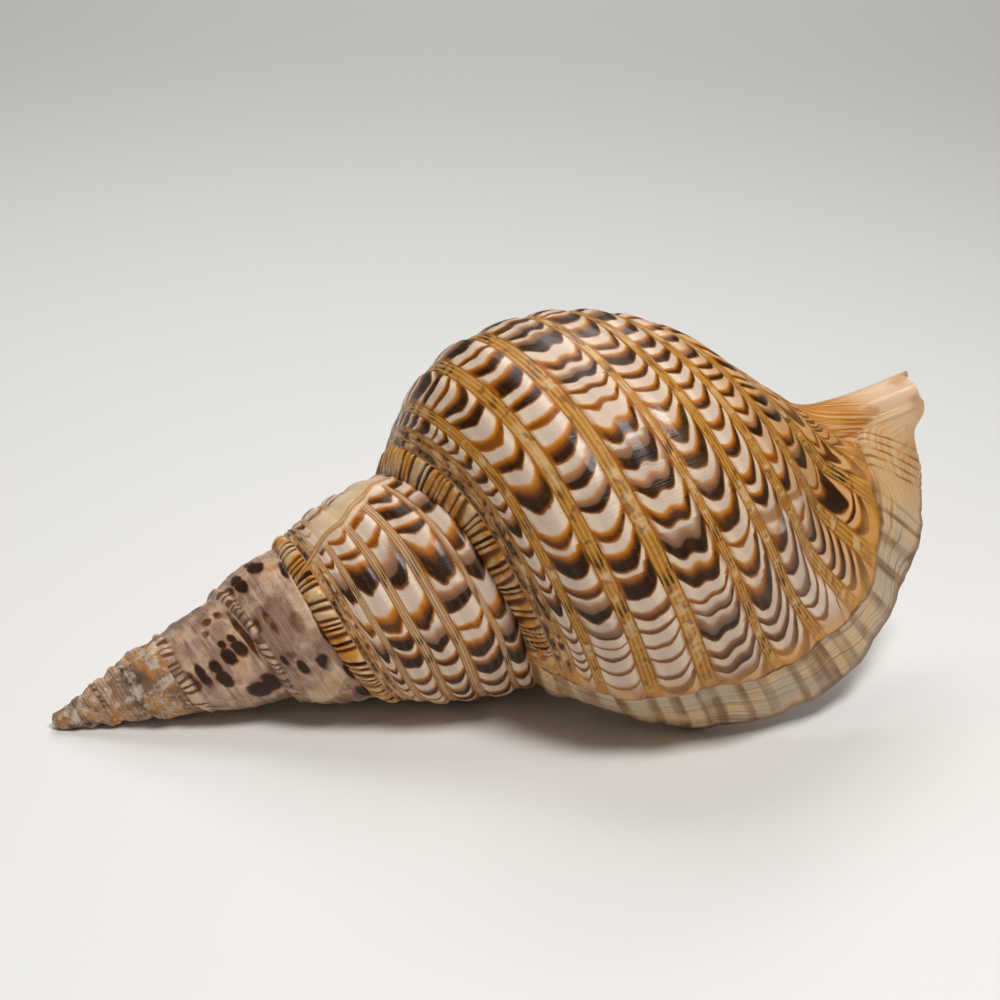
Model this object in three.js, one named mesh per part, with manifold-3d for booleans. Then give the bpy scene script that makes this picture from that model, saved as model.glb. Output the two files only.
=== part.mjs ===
// Triton shell: a right-handed spiral shell lying on its aperture side, in millimetres, +Z up.
// The shell is one piece. Its outside is a strip that winds round the axis from the apex to the lip,
// each turn welded to the last along the suture. The aperture and the siphonal canal are hollowed out.
import * as THREE from 'three';
import { ParametricGeometry } from 'three/addons/geometries/ParametricGeometry.js';
import { mergeGeometries, mergeVertices } from 'three/addons/utils/BufferGeometryUtils.js';
import Module from 'manifold-3d';

// Growth. Turns are counted back from the lip, which is turn 0; the axis runs along X from the apex.
const LENGTH = 330;
const TURNS = 7;
const STEPS_PER_TURN = 36;
const AXIAL_GROWTH = 1.4;
const RADIAL_GROWTH = 1.44;
const SUTURE_AT_LIP = 163;
const SUTURE_RADIUS_AT_LIP = 48;
const GROWTH_CENTRE = -10.4;
const LIP_AZIMUTH = 171;
const BODY_TURN = -0.475;

// Sections across the growing edge, from the suture to the tip of the canal: along the axis, radius.
const BODY_SECTION = [
  [139, 43.2], [153.5, 62.5], [171.5, 73], [197, 76], [221, 71.5],
  [249, 55], [275, 24], [287, 12], [302, 9], [LENGTH, 9],
];
// Shares of the body section where the swell is full, starts to fade towards the canal, and is gone.
const SWELL_FULL = 0.25;
const SWELL_FADE = 0.62;
const SWELL_GONE = 0.8;
// The lip's edge has a third value: how far its azimuth leads the suture's, in degrees.
const LIP_EDGE = [
  [SUTURE_AT_LIP, SUTURE_RADIUS_AT_LIP, 0], [179.9, 62.6, -8], [203.3, 80.8, -15], [238, 89.3, -17],
  [265, 86, -14.5], [294, 71, -4], [314, 51.5, 3], [323, 31, 5], [326, 14, 5],
];
// How far the suture wanders along the axis from an even spiral: turn, distance.
const SUTURE_DRIFT = [
  [-TURNS, 0], [-3.6, 0], [-3.225, -1.5], [-2.7, 0], [-2.225, 6], [-1.7, 0], [-1.225, -4.5],
  [-0.75, 0], [-0.475, 2], [-0.3, 9], [-0.2, 8.5], [-0.05, 2], [0, 0],
];

// Relief, as a share of the suture's radius at that turn.
const WHORL_BULGE = 0.12;
const WHORL_SHOULDER = 0.85;
const CORD_HEIGHT = 0.018;
const CORDS_PER_SECTION = 6;
const VARIX_HEIGHT = 0.085;
const VARIX_SPACING = 250 / 360;
const VARIX_WIDTH = 0.024;
const VARIX_LEAN = 0.12;
const VARIX_COUNT = 9;
const VARIX_PIVOT = 0.5;
const VARIX_ROUNDING = 0.5;
const SECTION_END = 2;
const RELIEF_FADE = 0.5;

// The body whorl swells a little up to the flare, and the lip flares over its last part of a turn.
const SPIRE_END = -1;
const BODY_START = -0.55;
const BODY_SWELL = 0.05;
const FLARE_START = -0.17;
const FLARE_POWER = 1.6;
const FLARE_FROM_SUTURE = 0.15;
const SPIRE_RISE = 2;
const SPIRE_RISE_END = 150;

// Columella and canal behind the aperture.
const COLUMELLA_RADIUS = 9;
const BASE_REACH = 0.62;
const BASE_POWER = 1.2;
const CANAL_END_DEPTH = 2;

// Hollow.
const WALL = 3;
const RIM_WALL = 2;
const THICKEST_WALL = 0.4;
const MIDWAY = 0.5;
const HOLLOW_DEPTH = -1.25;
const HOLLOW_OVERRUN = 0.05;
const HOLLOW_STEPS = 42;
const HOLLOW_ROWS = 8;
const HOLLOW_OUTER_START = 0.07;
const HOLLOW_OUTER_END = 1.56;
const HOLLOW_OUTER_END_AT_LIP = 1.9;
const HOLLOW_INNER_START = 1.03;
const HOLLOW_INNER_END = 1.82;
const HOLLOW_INNER_END_AT_LIP = 1.88;
const HOLLOW_LIP_START = -0.12;
const HOLLOW_TAPER = 0.3;
const CANAL_GROOVE_RADIUS = 4.6;
const CANAL_GROOVE = [[262, 20], [280, 10], [296, 7.2], [314, 6.8], [336, 7]];
const CANAL_GROOVE_AZIMUTH = 173;
const CANAL_GROOVE_SIDES = 4;
const CANAL_GROOVE_STEPS = 8;

// How it lies: rolled about its axis, canal end raised, worn flat where it touches.
const ROLL = -11.7;
const TILT = 17.5;
const WORN_FLAT = 0.4;
const FLOOR_BOX = 1000;

const SECTION_ROWS = 12;
const BASE_ROWS = 14;
const SNAP = 1e-4;
const SHELL_COLOUR = 0xc9a982;
const SHELL_ROUGHNESS = 0.35;

const axialCurve = (points) => new THREE.CatmullRomCurve3(
  points.map(([along, radius, lead = 0]) => new THREE.Vector3(along, radius, lead)), false, 'centripetal');
const bodyCurve = axialCurve(BODY_SECTION);
const lipCurve = axialCurve(LIP_EDGE);
const { lerp, clamp, smoothstep, degToRad } = THREE.MathUtils;

const scaleAt = (growth, turn) => growth ** turn;

function sutureDrift(turn) {
  const next = SUTURE_DRIFT.findIndex(([end]) => turn <= end);
  if (next <= 0) return 0;
  const [fromTurn, from] = SUTURE_DRIFT[next - 1];
  const [toTurn, to] = SUTURE_DRIFT[next];
  return lerp(from, to, smoothstep(turn, fromTurn, toTurn));
}

const sutureAlong = (turn) =>
  (SUTURE_AT_LIP - GROWTH_CENTRE) * scaleAt(AXIAL_GROWTH, turn) + GROWTH_CENTRE + sutureDrift(turn);
const sutureRadius = (turn) => SUTURE_RADIUS_AT_LIP * scaleAt(RADIAL_GROWTH, turn);

// Section of a spire whorl: 0 to 1 is its visible side, 1 to 2 its base, down to the columella.
function spireSection(turn, across) {
  const side = Math.min(across, 1);
  const bulge = WHORL_BULGE * sutureRadius(turn) * Math.sin(Math.PI * side ** WHORL_SHOULDER);
  const along = lerp(sutureAlong(turn), sutureAlong(turn + 1), side);
  const radius = lerp(sutureRadius(turn), sutureRadius(turn + 1), side) + bulge;
  if (across <= 1) return [along, radius];
  const depth = across - 1;
  const shrink = scaleAt(AXIAL_GROWTH, Math.min(turn + 1, 0));
  const tip = (LENGTH - GROWTH_CENTRE) * shrink + GROWTH_CENTRE;
  const core = COLUMELLA_RADIUS * shrink;
  const fall = Math.cos(Math.PI / 2 * Math.min(1, depth / BASE_REACH) ** BASE_POWER);
  return [lerp(sutureAlong(turn + 1), tip, depth), core + (sutureRadius(turn + 1) - core) * fall];
}

// Section of the body whorl, stretched so that its suture end meets the spire.
function bodySection(turn, across) {
  const share = across / SECTION_END;
  const point = bodyCurve.getPointAt(share);
  const [startAlong, startRadius] = BODY_SECTION[0];
  const suture = sutureAlong(turn);
  const along = suture + (LENGTH - suture) * (point.x - startAlong) / (LENGTH - startAlong);
  const swell = turn < BODY_TURN
    ? scaleAt(RADIAL_GROWTH, turn - BODY_TURN)
    : 1 + BODY_SWELL * (turn - BODY_TURN) / -BODY_TURN;
  const sutureScale = sutureRadius(turn) / startRadius;
  const sideScale = lerp(sutureScale, swell, smoothstep(share, 0, SWELL_FULL));
  return [along, point.y * lerp(sideScale, 1, smoothstep(share, SWELL_FADE, SWELL_GONE))];
}

// Varices: thick old lips that stand across the whorls at even spacing.
function varixHeight(turn, across) {
  let height = 0;
  for (let count = 1; count <= VARIX_COUNT; count += 1) {
    const offset = turn + count * VARIX_SPACING - VARIX_LEAN * (VARIX_PIVOT - across);
    height += Math.exp(-((offset / VARIX_WIDTH) ** 2));
  }
  return VARIX_HEIGHT * height * Math.sin(Math.PI * clamp(across, 0, 1)) ** VARIX_ROUNDING;
}

// Spiral cords: low ridges that follow the growth.
const cordHeight = (across) =>
  CORD_HEIGHT * Math.sin(Math.PI * CORDS_PER_SECTION * across) ** 2;

// Distance along the axis, radius and azimuth of a point on the outside.
function growthPoint(turn, across, relief) {
  const share = across / SECTION_END;
  const [spireAlong, spireRadius] = spireSection(turn, across);
  const [bodyAlong, bodyRadius] = bodySection(turn, across);
  const bodyPart = smoothstep(turn, SPIRE_END, BODY_START);
  const flareGrowth = clamp(1 - turn / FLARE_START, 0, 1) ** FLARE_POWER;
  const flarePart = flareGrowth * smoothstep(across, 0, FLARE_FROM_SUTURE);
  const lip = lipCurve.getPointAt(share);
  const along = lerp(lerp(spireAlong, bodyAlong, bodyPart), lip.x, flarePart);
  const plain = lerp(lerp(spireRadius, bodyRadius, bodyPart), lip.y, flarePart);
  const raised = relief ? (varixHeight(turn, across) + cordHeight(across)) * sutureRadius(turn) : 0;
  const fade = clamp((SECTION_END - across) / RELIEF_FADE, 0, 1);
  const lead = lip.z * smoothstep(turn, FLARE_START, 0);
  return [along, plain + raised * fade, LIP_AZIMUTH + 360 * turn + lead];
}

// A place round the axis, as a point. The spire's middle stands a little above the straight axis.
function place(along, radius, azimuth, target) {
  const angle = degToRad(azimuth);
  const rise = SPIRE_RISE * Math.sin(Math.PI * clamp(along / SPIRE_RISE_END, 0, 1));
  target.set(along, -radius * Math.sin(angle), radius * Math.cos(angle) + rise);
  return target.divideScalar(SNAP).round().multiplyScalar(SNAP);
}

const outsidePoint = (turn, across, target = new THREE.Vector3()) =>
  place(...growthPoint(turn, across, true), target);

const range = (count) => Array.from({ length: count + 1 }, (_, index) => index / count);

function grid(surface, columns, rows) {
  const sheet = new ParametricGeometry(surface, columns, rows);
  sheet.deleteAttribute('normal');
  sheet.deleteAttribute('uv');
  return sheet.toNonIndexed();
}

// Triangles from a centre to each edge of a closed loop.
function fan(centre, loop) {
  const corners = loop.flatMap((point, index) => [centre, point, loop[(index + 1) % loop.length]]);
  return new THREE.BufferGeometry().setFromPoints(corners);
}

// Triangles between two rows of points that start and end side by side.
function zip(left, right) {
  const corners = [];
  let leftIndex = 0;
  let rightIndex = 0;
  while (leftIndex < left.length - 1 || rightIndex < right.length - 1) {
    const leftNext = (leftIndex + 1) / (left.length - 1);
    const rightNext = (rightIndex + 1) / (right.length - 1);
    const stepLeft = leftNext <= rightNext;
    const ahead = stepLeft ? left[leftIndex + 1] : right[rightIndex + 1];
    const corner = [left[leftIndex], right[rightIndex], ahead];
    if (!corner[0].equals(corner[1])) corners.push(...corner);
    leftIndex += stepLeft ? 1 : 0;
    rightIndex += stepLeft ? 0 : 1;
  }
  return new THREE.BufferGeometry().setFromPoints(corners);
}

const weld = (pieces) => mergeVertices(mergeGeometries(pieces), SNAP / 2);

// The outside as one closed skin.
function outsideSkin() {
  const spire = grid(
    (growth, across, target) => outsidePoint((growth - 1) * TURNS, across, target),
    TURNS * STEPS_PER_TURN, SECTION_ROWS);
  const base = grid(
    (growth, across, target) => outsidePoint(growth - 1, 1 + across, target),
    STEPS_PER_TURN, BASE_ROWS);
  const tipSuture = range(STEPS_PER_TURN).map((step) => outsidePoint(step - TURNS, 0));
  const tipSection = range(SECTION_ROWS).slice(1, -1).map((across) => outsidePoint(-TURNS, 1 - across));
  const apex = fan(new THREE.Vector3(), [...tipSuture, ...tipSection].reverse());
  const lipEdge = [
    ...range(SECTION_ROWS).map((across) => outsidePoint(0, across)),
    ...range(BASE_ROWS).slice(1).map((across) => outsidePoint(0, 1 + across)),
  ];
  const innerEdge = range(BASE_ROWS).map((across) => outsidePoint(-1, 1 + across));
  const aperture = zip(lipEdge, innerEdge);
  const canalEdge = range(STEPS_PER_TURN).map((step) => outsidePoint(step - 1, SECTION_END));
  const canalEnd = fan(new THREE.Vector3(LENGTH - CANAL_END_DEPTH, 0, 0), canalEdge);
  return weld([spire, base, apex, aperture, canalEnd]);
}

// A point on the wall of the hollow: out along the whorl's section, then back along the columella.
function hollowPoint(growth, round, target) {
  const turn = lerp(HOLLOW_DEPTH, HOLLOW_OVERRUN, growth);
  const onOuter = round <= MIDWAY;
  const share = onOuter ? round * 2 : 2 - round * 2;
  const lipPart = smoothstep(turn, HOLLOW_LIP_START, 0);
  const outerEnd = lerp(HOLLOW_OUTER_END, HOLLOW_OUTER_END_AT_LIP, lipPart);
  const innerEnd = lerp(HOLLOW_INNER_END, HOLLOW_INNER_END_AT_LIP, lipPart);
  const outer = growthPoint(turn, lerp(HOLLOW_OUTER_START, outerEnd, share), false);
  const inner = growthPoint(turn - 1, lerp(HOLLOW_INNER_START, innerEnd, share), false);
  const gap = Math.hypot(outer[0] - inner[0], outer[1] - inner[1]);
  const wall = lerp(WALL, RIM_WALL, smoothstep(turn, FLARE_START, 0));
  const inset = Math.min(wall / gap, THICKEST_WALL);
  const closing = (1 - smoothstep(turn, HOLLOW_DEPTH, HOLLOW_DEPTH + HOLLOW_TAPER)) / 2;
  const blend = lerp(onOuter ? inset : 1 - inset, MIDWAY, closing);
  return place(lerp(outer[0], inner[0], blend), lerp(outer[1], inner[1], blend), outer[2], target);
}

function hollowSkin() {
  const wall = grid(
    (growth, round, target) => hollowPoint(growth, round % 1, target),
    HOLLOW_STEPS, HOLLOW_ROWS * 2);
  const end = (growth) => range(HOLLOW_ROWS * 2).slice(0, -1)
    .map((round) => hollowPoint(growth, round, new THREE.Vector3()));
  const middle = (loop) => loop.reduce((sum, point) => sum.add(point), new THREE.Vector3())
    .divideScalar(loop.length);
  const deep = end(0);
  const front = end(1).reverse();
  return weld([wall, fan(middle(deep), deep), fan(middle(front), front)]);
}

// The open groove along the canal.
function grooveSkin() {
  const path = new THREE.CatmullRomCurve3(CANAL_GROOVE.map(([along, radius]) =>
    place(along, radius, CANAL_GROOVE_AZIMUTH, new THREE.Vector3())));
  const outline = new THREE.Shape().absarc(0, 0, CANAL_GROOVE_RADIUS, 0, 2 * Math.PI);
  const groove = new THREE.ExtrudeGeometry(outline, {
    extrudePath: path, steps: CANAL_GROOVE_STEPS, curveSegments: CANAL_GROOVE_SIDES,
  });
  groove.deleteAttribute('normal');
  groove.deleteAttribute('uv');
  return mergeVertices(groove);
}

const wasm = await Module();
wasm.setup();

const solid = (skin) => new wasm.Manifold(new wasm.Mesh({
  numProp: 3,
  vertProperties: skin.attributes.position.array,
  triVerts: Uint32Array.from(skin.index.array),
}));

function skinOf(body) {
  const { vertProperties, triVerts } = body.getMesh();
  const skin = new THREE.BufferGeometry();
  skin.setAttribute('position', new THREE.BufferAttribute(vertProperties, 3));
  skin.setIndex(new THREE.BufferAttribute(triVerts, 1));
  return skin;
}

const hollowed = solid(outsideSkin()).subtract(solid(hollowSkin())).subtract(solid(grooveSkin()));

// Lay it down, wear its touching points flat and stand it on the origin.
const lying = skinOf(hollowed);
lying.rotateX(degToRad(ROLL)).rotateY(degToRad(-TILT));
lying.computeBoundingBox();
const floor = new THREE.BoxGeometry(FLOOR_BOX, FLOOR_BOX, FLOOR_BOX);
floor.translate(0, 0, lying.boundingBox.min.z + WORN_FLAT - FLOOR_BOX / 2);
floor.deleteAttribute('normal');
floor.deleteAttribute('uv');
const resting = skinOf(solid(lying).subtract(solid(mergeVertices(floor))));
resting.computeBoundingBox();
const middle = resting.boundingBox.getCenter(new THREE.Vector3());
resting.translate(-middle.x, -middle.y, -resting.boundingBox.min.z);
resting.computeVertexNormals();

const shell = new THREE.Mesh(resting, new THREE.MeshStandardMaterial({
  color: SHELL_COLOUR, roughness: SHELL_ROUGHNESS, metalness: 0,
}));
shell.name = 'shell';

const triton = new THREE.Group();
triton.add(shell);

export default triton;
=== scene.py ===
# %% [markdown]
# # Triton shell
# A triton shell is one piece of lime that a sea snail lays down along the edge of its mouth.
# The edge travels round a long axis while it grows, so every point of the shell has two natural coordinates:
# the turn at which it was laid down, and the place across the edge.
# This lesson models the shell in those coordinates and paints it in the same ones.

# %% Load the frame
import math

import bpy
import numpy as np
from mathutils import Matrix, Vector


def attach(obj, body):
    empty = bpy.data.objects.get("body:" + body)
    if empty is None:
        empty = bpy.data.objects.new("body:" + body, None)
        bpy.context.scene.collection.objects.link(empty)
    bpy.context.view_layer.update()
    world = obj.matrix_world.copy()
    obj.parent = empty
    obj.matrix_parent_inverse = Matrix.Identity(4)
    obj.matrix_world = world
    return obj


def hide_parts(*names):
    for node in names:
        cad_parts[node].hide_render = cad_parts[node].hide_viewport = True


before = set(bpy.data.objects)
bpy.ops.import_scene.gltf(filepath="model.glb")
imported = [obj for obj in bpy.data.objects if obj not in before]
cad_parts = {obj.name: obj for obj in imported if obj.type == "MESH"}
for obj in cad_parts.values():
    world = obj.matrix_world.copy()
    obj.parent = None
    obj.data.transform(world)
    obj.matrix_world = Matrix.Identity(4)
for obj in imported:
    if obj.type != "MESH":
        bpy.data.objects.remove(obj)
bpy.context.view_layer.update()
bpy.ops.object.select_all(action="DESELECT")

# %% [markdown]
# ## How the whorls grow
# The seam between two whorls, the suture, climbs away from the tip and widens by a fixed factor per turn.
# The last turn has a section of its own, the body whorl, and at its end the section opens into the lip.
# Lengths are millimetres along the shell's axis, with the tip at zero. Turns run from -7 to 0 at the lip.

# %% Growth of the whorls
LENGTH = 330.0
TURNS = 7
AXIAL_GROWTH = 1.4
RADIAL_GROWTH = 1.44
SUTURE_AT_LIP = 163.0
SUTURE_RADIUS_AT_LIP = 48.0
GROWTH_CENTRE = -10.4
LIP_AZIMUTH = 171.0
BODY_TURN = -0.475
BODY_SECTION = [(139, 43.2), (153.5, 62.5), (171.5, 73), (197, 76), (221, 71.5),
                (249, 55), (275, 24), (287, 12), (302, 9), (LENGTH, 9)]
LIP_EDGE = [(163, 48, 0), (179.9, 62.6, -8), (203.3, 80.8, -15), (238, 89.3, -17), (265, 86, -14.5),
            (294, 71, -4), (314, 51.5, 3), (323, 31, 5), (326, 14, 5)]
SUTURE_DRIFT = [(-TURNS, 0), (-3.6, 0), (-3.225, -1.5), (-2.7, 0), (-2.225, 6), (-1.7, 0), (-1.225, -4.5),
                (-0.75, 0), (-0.475, 2), (-0.3, 9), (-0.2, 8.5), (-0.05, 2), (0, 0)]
WHORL_BULGE, WHORL_SHOULDER = 0.12, 0.85
SPIRE_END, BODY_START, BODY_SWELL = -1.0, -0.55, 0.05
FLARE_START, FLARE_POWER, FLARE_FROM_SUTURE = -0.17, 1.6, 0.15
SPIRE_RISE, SPIRE_RISE_END = 2.0, 150.0
COLUMELLA_RADIUS, BASE_REACH, BASE_POWER = 9.0, 0.62, 1.2


def lerp(start, end, share):
    return start + (end - start) * share


def smoothstep(value, start, end):
    share = np.clip((value - start) / (end - start), 0, 1)
    return share * share * (3 - 2 * share)


def curve_through(points, steps=60):
    """Points along a smooth curve through the given ones, with their shares of its length."""
    given = np.array([list(point) + [0] * (3 - len(point)) for point in points], float)
    padded = np.vstack([2 * given[0] - given[1], given, 2 * given[-1] - given[-2]])
    part = np.linspace(0, 1, steps, endpoint=False)[:, None]
    pieces = []
    for index in range(len(given) - 1):
        before, start, end, after = padded[index:index + 4]
        gap0, gap1, gap2 = (np.linalg.norm(b - a) ** 0.5
                            for a, b in ((before, start), (start, end), (end, after)))
        leave = ((start - before) / gap0 - (end - before) / (gap0 + gap1) + (end - start) / gap1) * gap1
        arrive = ((end - start) / gap1 - (after - start) / (gap1 + gap2) + (after - end) / gap2) * gap1
        pieces.append(start + leave * part + (3 * (end - start) - 2 * leave - arrive) * part ** 2
                      + (2 * (start - end) + leave + arrive) * part ** 3)
    line = np.vstack(pieces + [given[-1:]])
    length = np.r_[0, np.cumsum(np.linalg.norm(np.diff(line, axis=0), axis=1))]
    return line, length / length[-1]


body_line = curve_through(BODY_SECTION)
lip_line = curve_through(LIP_EDGE)


def on_line(line, share, axis):
    return np.interp(share, line[1], line[0][:, axis])


def suture_drift(turn):
    drift = np.zeros_like(turn)
    for (from_turn, from_drift), (to_turn, to_drift) in zip(SUTURE_DRIFT, SUTURE_DRIFT[1:]):
        here = (turn > from_turn) & (turn <= to_turn)
        drift = np.where(here, lerp(from_drift, to_drift, smoothstep(turn, from_turn, to_turn)), drift)
    return drift


def suture_along(turn):
    return (SUTURE_AT_LIP - GROWTH_CENTRE) * AXIAL_GROWTH ** turn + GROWTH_CENTRE + suture_drift(turn)


def suture_radius(turn):
    return SUTURE_RADIUS_AT_LIP * RADIAL_GROWTH ** turn


def spire_section(turn, across):
    side = np.clip(across, 0, 1)
    bulge = WHORL_BULGE * suture_radius(turn) * np.sin(np.pi * side ** WHORL_SHOULDER)
    depth = np.clip(across - 1, 0, 1)
    shrink = AXIAL_GROWTH ** np.minimum(turn + 1, 0)
    core = COLUMELLA_RADIUS * shrink
    tip = (LENGTH - GROWTH_CENTRE) * shrink + GROWTH_CENTRE
    fall = np.cos(np.pi / 2 * np.minimum(1, depth / BASE_REACH) ** BASE_POWER)
    next_along, next_radius = suture_along(turn + 1), suture_radius(turn + 1)
    along = np.where(across > 1, lerp(next_along, tip, depth), lerp(suture_along(turn), next_along, side))
    radius = np.where(across > 1, core + (next_radius - core) * fall,
                      lerp(suture_radius(turn), next_radius, side) + bulge)
    return along, radius


def body_section(turn, across):
    share = across / 2
    start_along, start_radius = BODY_SECTION[0]
    suture = suture_along(turn)
    scaled = (LENGTH - suture) * (on_line(body_line, share, 0) - start_along)
    along = suture + scaled / (LENGTH - start_along)
    swell = np.where(turn < BODY_TURN, RADIAL_GROWTH ** (turn - BODY_TURN),
                     1 + BODY_SWELL * (turn - BODY_TURN) / -BODY_TURN)
    side = lerp(suture_radius(turn) / start_radius, swell, smoothstep(share, 0, 0.25))
    return along, on_line(body_line, share, 1) * lerp(side, 1, smoothstep(share, 0.62, 0.8))


def growth_point(turn, across, relief=0.0):
    """Distance along the axis, radius and azimuth of the outside."""
    share = across / 2
    spire_along, spire_radius = spire_section(turn, across)
    body_along, body_radius = body_section(turn, across)
    body = smoothstep(turn, SPIRE_END, BODY_START)
    flare = np.clip(1 - turn / FLARE_START, 0, 1) ** FLARE_POWER * smoothstep(across, 0, FLARE_FROM_SUTURE)
    along = lerp(lerp(spire_along, body_along, body), on_line(lip_line, share, 0), flare)
    radius = lerp(lerp(spire_radius, body_radius, body), on_line(lip_line, share, 1), flare)
    lead = on_line(lip_line, share, 2) * smoothstep(turn, FLARE_START, 0)
    return along, radius + relief, LIP_AZIMUTH + 360 * turn + lead


def place(along, radius, azimuth):
    angle = np.radians(azimuth)
    rise = SPIRE_RISE * np.sin(np.pi * np.clip(along / SPIRE_RISE_END, 0, 1))
    return np.stack([along, -radius * np.sin(angle), radius * np.cos(angle) + rise], -1)


print("suture at the lip", float(suture_along(np.array(0.0))), "mm along the axis")

# %% [markdown]
# ## Spiral bands
# Broad smooth bands run round the whorls, with narrow amber grooves between them that hold two fine riblets.
# Next to the suture lies a crimped cord, then a few thin beaded cords.
# Rows of the mesh follow the bands, so each face belongs to one band and knows its place across it.

# %% Bands and rows of the mesh
CORD, BAND, GROOVE, CANAL = range(4)
LAST_SPIRE_ROW = 0.893
# Start across the whorl, kind, rows of faces
STRIPS = [
    (0.000, CORD, 6), (0.105, GROOVE, 1), (0.112, BAND, 2), (0.136, GROOVE, 1), (0.143, BAND, 2),
    (0.168, GROOVE, 2), (0.184, BAND, 3), (0.232, GROOVE, 3), (0.267, BAND, 5),
    (0.383, GROOVE, 3), (0.430, BAND, 5), (0.552, GROOVE, 3), (0.605, BAND, 5), (0.765, GROOVE, 3),
    (0.797, BAND, 5), (0.923, GROOVE, 3), (0.963, BAND, 5), (1.074, GROOVE, 3), (1.121, BAND, 5),
    (1.231, GROOVE, 3), (1.284, BAND, 5), (1.413, GROOVE, 3), (1.479, BAND, 3), (1.558, GROOVE, 2),
    (1.573, BAND, 3), (1.625, CANAL, 21), (2.000, CANAL, 0)]
CANAL_STRIP = len(STRIPS) - 2

row_places, row_strips = [], []
for index, ((start, kind, count), (end, _, _)) in enumerate(zip(STRIPS, STRIPS[1:])):
    for step in range(count):
        row_places.append(lerp(start, end, step / count))
        row_strips.append(index)
row_places.append(2.0)
row_places = np.array(row_places)
row_strips = np.array(row_strips)
SPIRE_ROWS = int(np.argmin(abs(row_places - LAST_SPIRE_ROW)))
row_places[SPIRE_ROWS] = LAST_SPIRE_ROW
strip_starts = np.array([start for start, _, _ in STRIPS])
strip_kinds = np.array([kind for _, kind, _ in STRIPS])


def across_at(turn, row_place):
    """Where a band lies across the section: it slides outward as the body whorl grows."""
    spire = np.where(row_place <= LAST_SPIRE_ROW, row_place / LAST_SPIRE_ROW,
                     1 + (row_place - LAST_SPIRE_ROW) / (2 - LAST_SPIRE_ROW))
    slide = 0.1 * smoothstep(row_place, 0, 0.25) + 0.5 * np.minimum(row_place, 1.3) ** 2
    slide = slide * smoothstep(row_place, 2.0, 1.3)
    body = row_place + slide * (np.maximum(turn, -0.6) + 0.25)
    return np.clip(lerp(spire, body, smoothstep(turn, SPIRE_END, BODY_START)), 0, 2)


print(len(row_places) - 1, "rows of faces,", SPIRE_ROWS, "of them on the spire")

# %% [markdown]
# ## Relief
# The bands stand about a millimetre proud and the crimped cord a little more. At every 250 degrees the snail
# rested and thickened its lip, which stays behind as a varix: a long swelling that ends in a steep step.
# The last part of the lip is a thinner border behind a fine step line. Beside the canal this border rolls
# outward like an ear and carries fine ridges, which are added later along the normals of the surface.

# %% Relief of the outside
CELL_RATE = 44.0
BEADS_PER_CELL = 2.2
VARIX_SPACING, VARIX_COUNT, VARIX_HEIGHT = 250 / 360, 4, 0.075
BAND_HEIGHT, RIBLET_HEIGHT, CORD_HEIGHT, BEAD_HEIGHT = 1.5, 0.4, 1.5, 1.25
SEAM_HEIGHT, STEP_HEIGHT, SCAR_HEIGHT, RIDGE_HEIGHT = 0.8, 0.5, 0.9, 0.22
SCAR_TURN, SCAR_SLOPE = -0.236, 0.02
SCAR_RISE, SCAR_FALL = (0.90, 0.97), (1.34, 1.24)
RIDGES, RIDGE_START, RIDGE_SLANT, ROLL_HEIGHT = 19.0, 1.735, 1.6, 1.6
EAR_RISE, EAR_FALL = (1.69, 1.72), (1.99, 1.95)
CHIP_DEPTH = 2.4
DENT_TURN, DENT_REACH, DENT_DEPTH = -3.42, 0.16, 2.0
LIP_STEP = [(0.0, -0.120), (0.4, -0.110), (0.6, -0.097), (0.8, -0.080), (1.0, -0.064), (1.2, -0.051),
            (1.4, -0.045), (1.57, -0.055), (1.65, -0.085), (1.69, -0.120), (1.73, -0.175), (1.80, -0.220),
            (2.0, -0.220)]


def cells_at(turn):
    """Count of colour cells laid down up to a turn: each is about a centimetre long."""
    rate = math.log(RADIAL_GROWTH)
    crowded = 5 * np.clip((turn + 0.2) / 0.2, 0, 1) ** 2
    return CELL_RATE / rate * RADIAL_GROWTH ** (turn + 0.3) + crowded


def beads_at(turn, row_place):
    """Count of beads along the crimped cord: uneven, and slanted near the lip."""
    count = BEADS_PER_CELL * cells_at(turn)
    uneven = 0.35 * np.sin(0.9 * count) + 0.22 * np.sin(2.3 * count + 1.3)
    lean = 3 * np.minimum(row_place, 0.12) * np.sin(0.7 * count + 0.5)
    slant = 9 * BEADS_PER_CELL * row_place * smoothstep(turn, -0.3, -0.1)
    return count + uneven + lean + slant


def varix_marks(turn, across):
    """Swelling before each old lip, and how far past the nearest old lip a place is."""
    swelling, nearest = np.zeros_like(turn), np.ones_like(turn)
    wave = 0.005 * np.sin(across * 9) + 0.002 * np.sin(across * 23 + 1)
    for count in range(1, VARIX_COUNT + 1):
        past = turn + count * VARIX_SPACING + 0.057 - 0.105 * np.clip(1 - across, 0, 1) ** 1.3 + wave
        before = np.exp(-(np.minimum(past, 0) / 0.055) ** 2)
        after = np.exp(-(np.maximum(past, 0) / 0.009) ** 2)
        swelling = np.maximum(swelling, before * after)
        nearest = np.where(abs(past) < abs(nearest), past, nearest)
    return swelling, nearest


def past_lip_step(turn, across):
    steps = np.array(LIP_STEP)
    past = turn - np.interp(across, steps[:, 0], steps[:, 1]) + 0.003 * np.sin(across * 13)
    return past * lerp(1, 0.4, smoothstep(across, 1.5, 1.65))


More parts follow.
